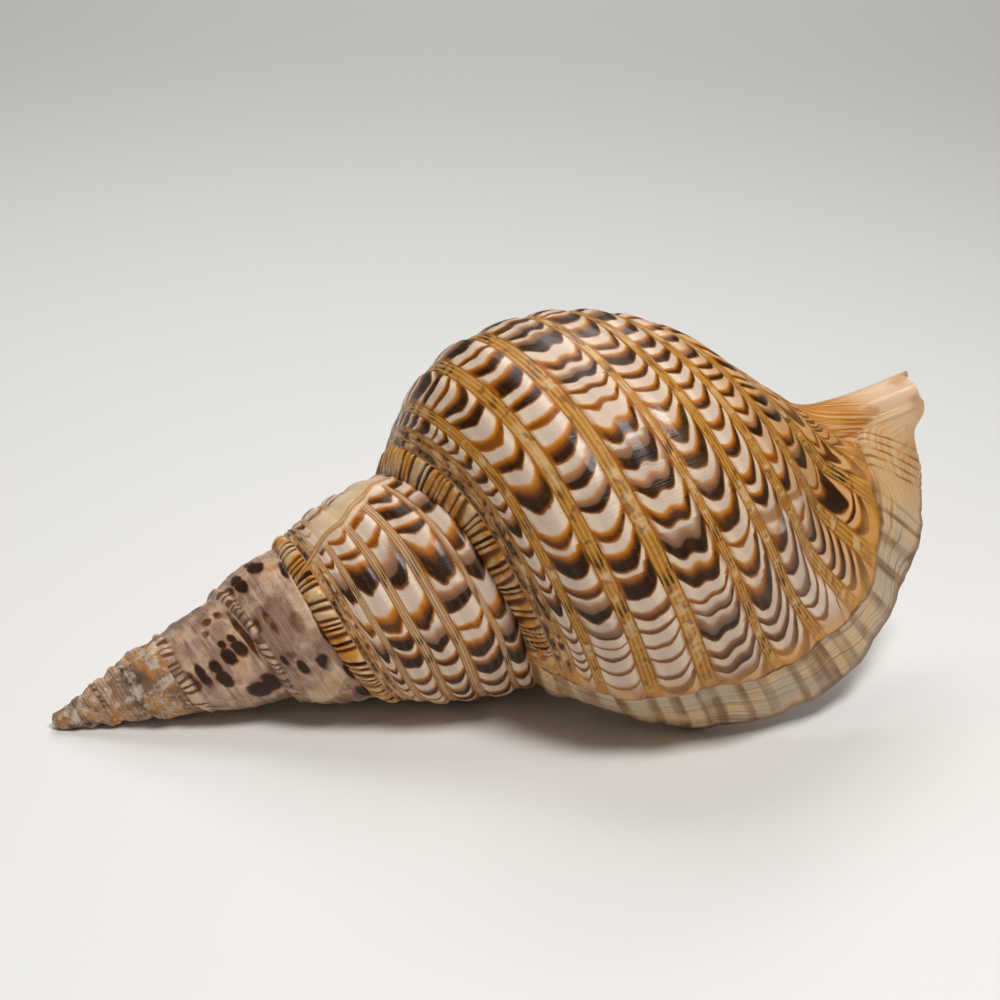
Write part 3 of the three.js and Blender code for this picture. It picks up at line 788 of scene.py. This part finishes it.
# %% Node helpers
class Paint:
    """A material's node tree with short ways to add nodes."""

    def __init__(self, material):
        material.use_nodes = True
        self.tree = material.node_tree
        self.tree.nodes.clear()

    def add(self, kind, inputs=(), **settings):
        node = self.tree.nodes.new(kind)
        for key, value in settings.items():
            setattr(node, key, value)
        for key, value in dict(inputs).items():
            if isinstance(value, bpy.types.NodeSocket):
                self.tree.links.new(value, node.inputs[key])
            else:
                node.inputs[key].default_value = value
        return node

    def math(self, operation, *values):
        return self.add("ShaderNodeMath", enumerate(values), operation=operation).outputs[0]

    def total(self, *values):
        result = values[0]
        for value in values[1:]:
            result = self.math("ADD", result, value)
        return result

    def product(self, *values):
        result = values[0]
        for value in values[1:]:
            result = self.math("MULTIPLY", result, value)
        return result

    def ease(self, value, start, end, low=0.0, high=1.0):
        node = self.add("ShaderNodeMapRange", {0: value, 1: start, 2: end, 3: low, 4: high},
                        interpolation_type="SMOOTHSTEP")
        return node.outputs[0]

    def inverse(self, value):
        return self.math("SUBTRACT", 1.0, value)

    def pair(self, name):
        uv = self.add("ShaderNodeUVMap", uv_map=name).outputs[0]
        parts = self.add("ShaderNodeSeparateXYZ", {0: uv})
        return parts.outputs[0], parts.outputs[1]

    def cosine(self, value, rate=1.0):
        return self.math("COSINE", self.product(value, 2 * math.pi * rate))

    def noise(self, vector, scale, detail=2.0, roughness=0.5, dimensions="3D"):
        inputs = {"Vector": vector, "Scale": scale, "Detail": detail, "Roughness": roughness}
        return self.add("ShaderNodeTexNoise", inputs, noise_dimensions=dimensions).outputs[0]

    def flat_noise(self, across, along, detail=2.0, roughness=0.5):
        return self.noise(self.plane(across, along), 1.0, detail, roughness, "2D")

    def wave(self, value, scale, detail=1.0):
        node = self.add("ShaderNodeTexNoise", {"W": value, "Scale": scale, "Detail": detail},
                        noise_dimensions="1D")
        return node.outputs[0]

    def ramp(self, value, stops):
        node = self.add("ShaderNodeValToRGB", {0: value})
        elements = node.color_ramp.elements
        while len(elements) < len(stops):
            elements.new(0.5)
        for element, (position, shade) in zip(elements, stops):
            element.position = position
            element.color = shade
        return node.outputs[0]

    def plane(self, across, along):
        return self.add("ShaderNodeCombineXYZ", {0: across, 1: along}).outputs[0]

    def chance(self, vector):
        node = self.add("ShaderNodeTexWhiteNoise", {"Vector": vector}, noise_dimensions="2D")
        parts = self.add("ShaderNodeSeparateColor", {0: node.outputs["Color"]})
        return parts.outputs[0], parts.outputs[2]

    def mix(self, share, under, over):
        node = self.add("ShaderNodeMix", data_type="RGBA", blend_type="MIX")
        for socket, value in ((node.inputs[0], share), (node.inputs[6], under), (node.inputs[7], over)):
            if isinstance(value, bpy.types.NodeSocket):
                self.tree.links.new(value, socket)
            else:
                socket.default_value = value
        return node.outputs[2]


def colour(red, green, blue):
    """A screen colour of 0 to 255 as the linear light that shaders use."""
    channels = [value / 255 for value in (red, green, blue)]
    light = [value / 12.92 if value <= 0.04045 else ((value + 0.055) / 1.055) ** 2.4 for value in channels]
    return light + [1.0]


print("cream as light", [round(value, 3) for value in colour(226, 208, 196)])

# %% [markdown]
# ## Finish of the outside
# Each band carries a row of cells like overlapping scales. A cell starts cream or smoky, warms to amber and
# ends in a chocolate crescent with an amber outline, and some cells stay pale. Near the lip and in some dark
# cells the shades turn mauve-grey instead, partly the cells' own tint and partly painted sheen and painted
# shading of the lumpy cells. Grooves are golden with dark dashes, the crimped cord is cream and orange with
# brown gaps that are partly painted shadow between the beads, the lip's border is striped grey and tan, and
# the canal is orange. The old whorls have a chalky finish of their own. The two finishes are separate
# layers, and a Mix Shader goes from one to the other along the spire.

# %% Outside finish
paint = Paint(bpy.data.materials["shell outside"])
mix, ease, product, total = paint.mix, paint.ease, paint.product, paint.total
noise, flat_noise, inverse, calc = paint.noise, paint.flat_noise, paint.inverse, paint.math
spot = paint.add("ShaderNodeTexCoord").outputs["Object"]
beads, row_place = paint.pair("growth")
side, strip = paint.pair("band")
past_lip, swelling = paint.pair("marks")
seam, turn = paint.pair("lines")
crescents, darkness = paint.pair("spots")

PALE = colour(230, 208, 182)
LILAC = colour(214, 190, 172)
SMOKE = colour(104, 84, 72)
GOLDEN = colour(214, 152, 66)
AMBER = colour(178, 100, 12)
DEEP_AMBER = colour(132, 74, 12)
BRIGHT_GOLD = colour(200, 144, 64)
RUST = colour(104, 52, 12)
BROWN = colour(40, 18, 6)
CREAM = colour(222, 186, 138)
TAN = colour(180, 124, 62)
OLD_ROSE = colour(158, 122, 104)
OLD_CREAM = colour(212, 178, 148)
MAUVE = colour(112, 84, 74)
DUSK = colour(74, 46, 32)
LIP_GREY = colour(202, 182, 154)
LIP_TAN = colour(124, 80, 38)
CANAL_ORANGE = colour(206, 138, 58)
CANAL_PINK = colour(228, 192, 156)
CHALK = colour(198, 180, 162)
CRUST = colour(108, 80, 64)
WOBBLE_SCALE, FINE_WOBBLE_SCALE, CELL_WOBBLE = 55.0, 190.0, 0.12
BLOTCH_OUTER, BLOTCH_INNER = 1.4, 0.5
SPECULAR, COAT, COAT_ROUGHNESS = 0.16, 0.10, 0.1
BUMP_STRENGTH, BUMP_DISTANCE = 0.3, 0.0008

wobble = calc("SUBTRACT", noise(spot, WOBBLE_SCALE), 0.5)
fine_wobble = calc("SUBTRACT", noise(spot, FINE_WOBBLE_SCALE), 0.5)


def wobbled(value, amount, by=wobble):
    return total(value, product(by, amount))


def patchy(scale, start, end, low=0.0, high=1.0, detail=2.0, roughness=0.5):
    """Soft patches that go from low to high where the noise goes from start to end."""
    return ease(noise(spot, scale, detail, roughness), start, end, low, high)


def near(value, outer, inner):
    """One where the value is closer to zero than inner, and none beyond outer."""
    return ease(calc("ABSOLUTE", value), outer, inner)


# Cells of the bands, with their crescents
in_groove = product(calc("GREATER_THAN", calc("MODULO", strip, 2.0), 0.5),
                    calc("LESS_THAN", strip, CANAL_STRIP - 0.5))
in_cord = calc("LESS_THAN", strip, 0.5)
off_middle = calc("ABSOLUTE", side)
square = product(side, side)
young = ease(turn, *YOUNG)
bow = product(ease(row_place, *FAR_ROWS, BOW_NEAR, BOW_FAR), ease(turn, *YOUNG, SPIRE_BOW, 1.0))
lobes = product(paint.cosine(side), LOBE, young, ease(row_place, *LOBE_RISE), ease(row_place, *LOBE_FALL))
smooth_phase = total(crescents, product(bow, square), lobes)
phase = total(smooth_phase, product(wobble, CELL_WOBBLE), product(fine_wobble, CELL_WOBBLE))
along_cell = calc("FRACT", phase)
chance_one, chance_two = paint.chance(paint.plane(strip, calc("FLOOR", phase)))
black_start = total(0.92, product(darkness, -0.58), product(square, 0.10),
                    product(calc("SUBTRACT", chance_one, 0.5), 0.12))
past_start = calc("SUBTRACT", along_cell, black_start)
# Near the lip and in some dark cells the shades turn mauve-grey: partly the cells' own tint, partly painted
# sheen on the dark cells and painted shading of the lumpy cells by the lip.
soft_zone = product(ease(past_lip, -0.15, -0.07), ease(row_place, 1.25, 1.05))
soft_cell = product(ease(darkness, 0.5, 0.85), ease(chance_two, 0.3, 0.7, 0.1, 0.6))
soft = calc("MAXIMUM", soft_zone, soft_cell)
depth = total(0.58, product(past_start, 1.9), product(soft, total(-0.34, product(past_start, -0.7))))
depth = calc("MINIMUM", depth, ease(darkness, 0.0, 0.55, 0.42, 1.0))
depth = calc("MINIMUM", depth, ease(row_place, 1.25, 1.5, 1.0, 0.62))
smoke = product(ease(past_start, -0.5, -0.05), ease(darkness, 0.5, 0.85),
                ease(chance_two, 0.45, 0.9, 0.0, 0.7))
pale = mix(ease(total(off_middle, wobble), 0.75, 0.25), PALE, LILAC)
pale = mix(product(ease(row_place, 1.0, 1.3), 0.75), pale, GOLDEN)
band_colour = mix(smoke, pale, SMOKE)
shades = paint.ramp(depth, [(0.0, GOLDEN), (0.12, GOLDEN), (0.34, AMBER), (0.56, RUST), (0.78, BROWN)])
# Mauve-grey shades: partly the cells' own tint, partly painted sheen and painted shading.
soft_shades = paint.ramp(depth, [(0.0, LILAC), (0.28, MAUVE), (0.5, DUSK), (0.74, BROWN)])
shades = mix(product(soft, 0.7), shades, soft_shades)
clear = product(ease(depth, 0.02, 0.24), inverse(product(smoke, 0.6)))
band_colour = mix(calc("MAXIMUM", clear, ease(depth, 0.45, 0.7)), band_colour, shades)
rim = calc("MAXIMUM", ease(along_cell, 0.92, 0.97, 0.0, 0.7), ease(along_cell, 0.06, 0.0, 0.0, 0.7))
band_colour = mix(rim, band_colour, mix(ease(darkness, 0.2, 0.9), AMBER, DEEP_AMBER))
band_edge = product(ease(wobbled(off_middle, 0.3), 0.78, 1.0), patchy(75.0, 0.35, 0.65, 0.1, 0.9))
band_colour = mix(band_edge, band_colour, AMBER)
thin = product(ease(row_place, 0.19, 0.16), calc("GREATER_THAN", strip, 0.5))
thin_patches = flat_noise(product(row_place, 30.0), product(beads, 0.5), 4.0)
thin_colour = paint.ramp(thin_patches, [(0.32, CREAM), (0.46, TAN), (0.54, DEEP_AMBER), (0.60, BROWN)])
band_colour = mix(product(thin, 0.9), band_colour, thin_colour)

# Grooves between the bands
thread = paint.cosine(wobbled(side, 0.25, fine_wobble), 1.5)
groove_colour = mix(ease(thread, -0.9, 0.7, 0.5, 1.0), DEEP_AMBER, BRIGHT_GOLD)
patches = flat_noise(product(strip, 7.3), product(beads, 0.45))
cream_patches = product(ease(patches, 0.5, 0.68), ease(off_middle, 0.8, 0.4), 0.7)
groove_colour = mix(cream_patches, groove_colour, CREAM)
groove_colour = mix(product(ease(off_middle, 0.66, 0.95), 0.6), groove_colour, DEEP_AMBER)
dashes = flat_noise(total(product(strip, 3.1), product(side, 0.9)), product(beads, 0.8), 1.0)
groove_colour = mix(ease(dashes, 0.54, 0.74, 0.0, 0.6), groove_colour, RUST)
spire_groove = mix(patches, LILAC, BRIGHT_GOLD)
spire_groove = mix(ease(thread, 0.5, -0.9, 0.0, 0.6), spire_groove, DEEP_AMBER)
spire_groove = mix(ease(total(off_middle, wobble), 0.5, 0.95, 0.0, 0.7), spire_groove, DEEP_AMBER)
groove_colour = mix(product(inverse(young), 0.75), groove_colour, spire_groove)
leak = product(ease(along_cell, 0.3, 0.75), ease(along_cell, 1.0, 0.86), ease(darkness, 0.5, 0.95))
leak = product(leak, ease(total(thread, wobble), 0.8, -0.6, 0.25, 0.9))
groove_colour = mix(leak, groove_colour, BROWN)

# Crimped cord: darker between its beads, partly its own brown and partly painted shadow in the gaps
bead = paint.cosine(wobbled(beads, 0.9))
cord_colour = mix(patchy(140.0, 0.44, 0.6, detail=3.0), CREAM, CANAL_ORANGE)
cord_colour = mix(ease(bead, 0.3, -0.5, 0.0, 0.85), cord_colour, DEEP_AMBER)
cord_colour = mix(ease(bead, -0.45, -0.95, 0.0, 0.9), cord_colour, RUST)
cord_patches = ease(flat_noise(0.0, product(beads, 0.35)), 0.47, 0.6)
cord_colour = mix(product(cord_patches, ease(bead, 0.8, -0.4), 0.85), cord_colour, BROWN)
outside = mix(in_groove, band_colour, groove_colour)
outside = mix(in_cord, outside, cord_colour)

# Golden margin before the lip's border, and the healed scar
near_lip = ease(wobbled(past_lip, 0.03), -0.034, -0.006, 0.0, 0.75)
outside = mix(near_lip, outside, mix(patchy(140.0, 0.4, 0.6, detail=3.0), GOLDEN, TAN))
past_scar = total(turn, -SCAR_TURN, product(wobble, 0.03), product(row_place, -SCAR_SLOPE))
scar_rows = product(ease(row_place, *SCAR_RISE), ease(row_place, *SCAR_FALL))
scar = product(near(total(past_scar, 0.005), 0.008, 0.003), scar_rows, 0.8)
outside = mix(scar, outside, mix(noise(spot, 150.0, 1.0), TAN, DEEP_AMBER))
healed = product(near(total(past_scar, -0.007), 0.009, 0.004), scar_rows, inverse(in_groove),
                 patchy(90.0, 0.35, 0.6, 0.15, 0.8, 3.0))
outside = mix(healed, outside, LILAC)

# Canal
canal = ease(wobbled(row_place, 0.08), 1.57, 1.68)
fan = calc("SUBTRACT", row_place, turn)
streaks = flat_noise(product(fan, 38.0), product(beads, 0.03), 3.0)
canal_colour = mix(ease(streaks, 0.50, 0.40, 0.0, 0.6), CANAL_ORANGE, CREAM)
canal_colour = mix(ease(streaks, 0.54, 0.64, 0.0, 0.6), canal_colour, DEEP_AMBER)
worn_end = ease(wobbled(row_place, 0.1), 1.74, 1.90)
end_colour = mix(patchy(110.0, 0.5, 0.7, 0.0, 0.6), CANAL_PINK, TAN)
canal_colour = mix(worn_end, canal_colour, end_colour)
outside = mix(canal, outside, canal_colour)

# Varices and their seams: the seam's core is its own tan and cream, and its darker edges are painted shadow
# beside the raised seam
smooth_varix = product(ease(swelling, 0.25, 0.6), ease(row_place, 0.10, 0.32),
                       ease(turn, -1.1, -0.9, 0.9, 0.5))
varix_colour = mix(product(patchy(70.0, 0.5, 0.72, detail=3.0), 0.5), CREAM, GOLDEN)
varix_colour = mix(patchy(25.0, 0.42, 0.62), varix_colour, PALE)
outside = mix(smooth_varix, outside, varix_colour)
on_swelling = ease(swelling, 0.2, 0.4)
# Darker edges beside the raised seam: painted shadow.
outside = mix(product(near(seam, 0.0055, 0.003), on_swelling, 0.7), outside, DEEP_AMBER)
outside = mix(product(near(seam, 0.003, 0.0015), on_swelling, 0.9), outside, mix(patches, TAN, CREAM))

# Old whorls
old = ease(turn, -1.84, -2.02)
older = ease(turn, -3.45, -4.0)
old_colour = mix(patchy(65.0, 0.40, 0.58, detail=5.0, roughness=0.6), OLD_ROSE, OLD_CREAM)
old_colour = mix(product(patchy(34.0, 0.46, 0.6, detail=5.0, roughness=0.6), 0.8), old_colour, MAUVE)
old_colour = mix(patchy(130.0, 0.54, 0.74, 0.0, 0.7, 3.0), old_colour, TAN)
old_streaks = flat_noise(product(row_place, 26.0), product(beads, 0.3), 4.0)
old_colour = mix(ease(old_streaks, 0.55, 0.7, 0.0, 0.5), old_colour, CHALK)
old_colour = mix(ease(old_streaks, 0.42, 0.3, 0.0, 0.5), old_colour, CRUST)
old_lines = paint.cosine(wobbled(row_place, 0.02, fine_wobble), 10)
lined = ease(turn, -3.5, -3.9)
old_colour = mix(product(lined, ease(old_lines, -0.2, -0.9), 0.7), old_colour, TAN)
old_colour = mix(product(lined, ease(old_lines, 0.3, 0.9), 0.6), old_colour, PALE)
far_side = ease(paint.cosine(total(turn, 0.225)), 0.1, -0.3)
blotch = product(ease(depth, 0.5, 0.8), far_side, inverse(in_groove))
blotch_place = paint.plane(total(turn, product(fine_wobble, 0.020), product(wobble, 0.01)),
                           total(row_place, product(wobble, 0.08), product(fine_wobble, 0.06)))
for at_turn, at_row, length, width, dark in OLD_BLOTCHES:
    length, width = length * BLOTCH_SPREAD, width * BLOTCH_SPREAD
    scaled = {0: blotch_place, 1: (1 / length, 1 / width, 0), 2: (-at_turn / length, -at_row / width, 0)}
    offset = paint.add("ShaderNodeVectorMath", scaled, operation="MULTIPLY_ADD").outputs[0]
    distance = paint.add("ShaderNodeVectorMath", {0: offset}, operation="LENGTH").outputs["Value"]
    blotch = calc("MAXIMUM", blotch, ease(distance, BLOTCH_OUTER, BLOTCH_INNER, 0.0, dark / 9))
blotch = product(blotch, patchy(230.0, 0.25, 0.6, 0.7, 1.1, 4.0))
old_dark = paint.ramp(blotch, [(0.1, CRUST), (0.5, RUST), (0.8, BROWN)])
old_colour = mix(ease(blotch, 0.1, 0.65, 0.0, 0.97), old_colour, old_dark)
# The old cord is darker between its beads too: partly its own rust, partly painted shadow in the gaps.
old_cord = mix(ease(bead, 0.2, -0.7, 0.0, 0.9), OLD_CREAM, RUST)
old_cord = mix(patchy(90.0, 0.5, 0.7, 0.0, 0.7, 3.0), old_cord, CRUST)
old_colour = mix(ease(row_place, 0.16, 0.10), old_colour, old_cord)
old_colour = mix(product(smooth_varix, 0.6), old_colour, outside)
stain = mix(patchy(85.0, 0.42, 0.6, detail=4.0), CRUST, TAN)
stain = mix(patchy(70.0, 0.58, 0.7, 0.0, 0.8, 3.0), stain, CANAL_ORANGE)
stain = mix(patchy(120.0, 0.5, 0.68, 0.0, 0.7, 3.0), stain, MAUVE)
stain = mix(patchy(210.0, 0.46, 0.6, detail=5.0, roughness=0.7), stain, CHALK)
old_colour = mix(product(older, patchy(45.0, 0.3, 0.6, 0.35, 0.95, 3.0)), old_colour, stain)

# Border of the lip, its ear beside the canal and the dark line at its step, partly the line's own rust and
# partly painted shadow at the step
lip = ease(past_lip, -0.001, 0.003)
uneven_rows = total(product(row_place, 11.5), product(paint.wave(row_place, 9.0), 1.3))
stripe = product(ease(paint.cosine(uneven_rows), -0.5, 0.6), patchy(70.0, 0.3, 0.65, 0.35, 0.95),
                 ease(paint.wave(row_place, 23.0), 0.3, 0.6, 0.4, 1.0), 0.95)
growth_lines = flat_noise(product(row_place, 2.5), product(past_lip, 380.0), 4.0, 0.6)
lip_colour = mix(patchy(60.0, 0.4, 0.65), LIP_GREY, CREAM)
lip_colour = mix(stripe, lip_colour, LIP_TAN)
lip_colour = mix(ease(growth_lines, 0.48, 0.7, 0.0, 0.6), lip_colour, LIP_TAN)
ear = total(row_place, product(turn, -RIDGE_SLANT), product(fine_wobble, 0.02))
ear_line = ease(paint.cosine(total(ear, -RIDGE_START), RIDGES), 0.2, 0.95)
ear_line = product(ear_line, ease(ear, *EAR_RISE), ease(ear, *EAR_FALL), patchy(90.0, 0.35, 0.6, 0.1, 0.7))
ear_colour = mix(ease(growth_lines, 0.4, 0.65, 0.0, 0.6), CREAM, CANAL_ORANGE)
ear_colour = mix(product(worn_end, 0.6), ear_colour, end_colour)
ear_colour = mix(ear_line, ear_colour, DEEP_AMBER)
lip_colour = mix(ease(row_place, 1.40, 1.58), lip_colour, ear_colour)
lip_colour = mix(ease(turn, -0.012, -0.002, 0.0, 0.7), lip_colour, LIP_TAN)
outside = mix(lip, outside, lip_colour)
# Dark line at the lip's step: partly its own colour, partly painted shadow at the step.
step_line = product(near(calc("SUBTRACT", past_lip, 0.001), 0.0045, 0.0015), ease(row_place, 1.60, 1.45),
                    patchy(60.0, 0.4, 0.6, 0.2, 0.85))
outside = mix(step_line, outside, RUST)

# Fine relief and the two layers
ripple = flat_noise(product(row_place, 3.0), product(beads, 4.0), 3.0)
fine_lines = flat_noise(product(row_place, 9.0), product(beads, 11.0))
rough = product(ease(turn, -1.9, -3.6), noise(spot, 260.0, 5.0, 0.6), 4.0)
puffed = product(calc("SINE", product(calc("FRACT", smooth_phase), math.pi)), ease(turn, -0.24, -0.16),
                 ease(row_place, 0.72, 0.85), ease(past_lip, 0.0, -0.01), inverse(in_groove), 2.2)
worn_height = total(ripple, product(fine_lines, 0.7))
fresh_height = total(worn_height, puffed, product(lip, growth_lines, 1.5), product(canal, streaks, 1.2))
gloss = total(0.30, product(older, 0.35), product(lip, 0.12), product(ripple, 0.08))
layers = []
for base, height in ((outside, fresh_height), (old_colour, total(worn_height, rough))):
    bump = paint.add("ShaderNodeBump", {
        "Height": height, "Strength": BUMP_STRENGTH, "Distance": BUMP_DISTANCE})
    layers.append(paint.add("ShaderNodeBsdfPrincipled", {
        "Base Color": base, "Normal": bump.outputs[0], "Roughness": gloss, "Specular IOR Level": SPECULAR,
        "Coat Weight": COAT, "Coat Roughness": COAT_ROUGHNESS}).outputs[0])
surface = paint.add("ShaderNodeMixShader", {0: old, 1: layers[0], 2: layers[1]})
paint.add("ShaderNodeOutputMaterial", {"Surface": surface.outputs[0]})
print(len(paint.tree.nodes), "nodes in the outside finish")

# %% [markdown]
# ## Finish of the inside
# The mouth of such a shell is glazed orange cream, and its pillar side is dark brown with white wrinkles.

# %% Inside finish
GLAZE_ORANGE = colour(232, 170, 110)
GLAZE_CREAM = colour(238, 206, 172)
PILLAR_BROWN = colour(70, 34, 18)
WRINKLE_WHITE = colour(232, 208, 186)
WRINKLES = 26
paint = Paint(inside_material)
spot = paint.add("ShaderNodeTexCoord").outputs["Object"]
depth, around = paint.pair("growth")
pillar = paint.product(paint.ease(around, 0.56, 0.66), paint.ease(around, 0.99, 0.9))
fold = paint.cosine(paint.total(around, paint.product(depth, 0.05)), WRINKLES)
inside = paint.mix(paint.ease(paint.noise(spot, 30.0), 0.35, 0.65), GLAZE_ORANGE, GLAZE_CREAM)
pillar_colour = paint.mix(paint.ease(fold, -0.1, 0.7), PILLAR_BROWN, WRINKLE_WHITE)
near_lip = paint.ease(depth, -0.3, -0.08)
inside = paint.mix(paint.product(pillar, near_lip), inside, pillar_colour)
surface = paint.add("ShaderNodeBsdfPrincipled", {
    "Base Color": inside, "Roughness": 0.25, "Specular IOR Level": 0.5, "Coat Weight": 0.3,
    "Coat Roughness": 0.1})
paint.add("ShaderNodeOutputMaterial", {"Surface": surface.outputs[0]})
print(len(paint.tree.nodes), "nodes in the inside finish")

# %% [markdown]
# ## Into the frame
# The finished shell stands for the CAD node and rides on its only body.

# %% Frame
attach(shell, "root")
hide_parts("shell")
print(shell.name, "stands for the CAD node shell")

# %% [markdown]
# ## Camera, floor and light
# The camera looks at the shell's upward side, a little from above.
# A pale floor and three soft lamps show the gloss without hiding the pattern, and a fourth lamp
# lights the floor behind the shell.

# %% Camera, floor and light
SENSOR_WIDTH, LENS = 36, 68.87
CAMERA_PLACE = (-0.155405, -0.593517, 0.336846)
FLOOR_SIZE, WORLD_STRENGTH = 6, 0.065
camera_data = bpy.data.cameras.new("camera")
camera_data.sensor_width = SENSOR_WIDTH
camera_data.lens = LENS
camera = bpy.data.objects.new("camera", camera_data)
bpy.context.collection.objects.link(camera)
right = Vector((0.96943546, -0.24469478, 0.01787032))
up = Vector((0.08029886, 0.38526705, 0.91930484))
ahead = Vector((0.23183394, 0.88977175, -0.39314025))
turned = Matrix((right, up, -ahead)).transposed().to_4x4()
camera.matrix_world = Matrix.Translation(CAMERA_PLACE) @ turned
bpy.context.scene.camera = camera

bpy.ops.mesh.primitive_plane_add(size=FLOOR_SIZE, location=(0, 0, 0))
floor = bpy.context.object
floor.name = "floor"
floor_paint = bpy.data.materials.new("floor")
paint = Paint(floor_paint)
surface = paint.add("ShaderNodeBsdfPrincipled", {"Base Color": colour(236, 234, 230), "Roughness": 0.7})
paint.add("ShaderNodeOutputMaterial", {"Surface": surface.outputs[0]})
floor.data.materials.append(floor_paint)


def lamp(name, position, aim, size, power):
    data = bpy.data.lights.new(name, "AREA")
    data.size = size
    data.energy = power
    light = bpy.data.objects.new(name, data)
    bpy.context.collection.objects.link(light)
    light.location = position
    light.rotation_euler = (Vector(aim) - Vector(position)).to_track_quat("-Z", "Y").to_euler()


lamp("key", (0.15, -0.5, 1.1), (0.02, 0, 0.06), 0.32, 10)
lamp("fill", (-0.9, -0.7, 0.5), (0, 0, 0.05), 0.9, 0.95)
lamp("top", (-0.1, 0.5, 1.1), (0, 0, 0.05), 0.6, 4.3)
lamp("backdrop", (0.5, 2.1, 1.9), (0.5, 2.3, 0), 1.2, 22)
world = bpy.data.worlds.new("studio")
world.use_nodes = True
world.node_tree.nodes["Background"].inputs[0].default_value = (1.0, 0.98, 0.95, 1.0)
world.node_tree.nodes["Background"].inputs[1].default_value = WORLD_STRENGTH
bpy.context.scene.world = world
bpy.context.scene.view_settings.view_transform = "Standard"
print("camera", tuple(round(value, 3) for value in camera.location))
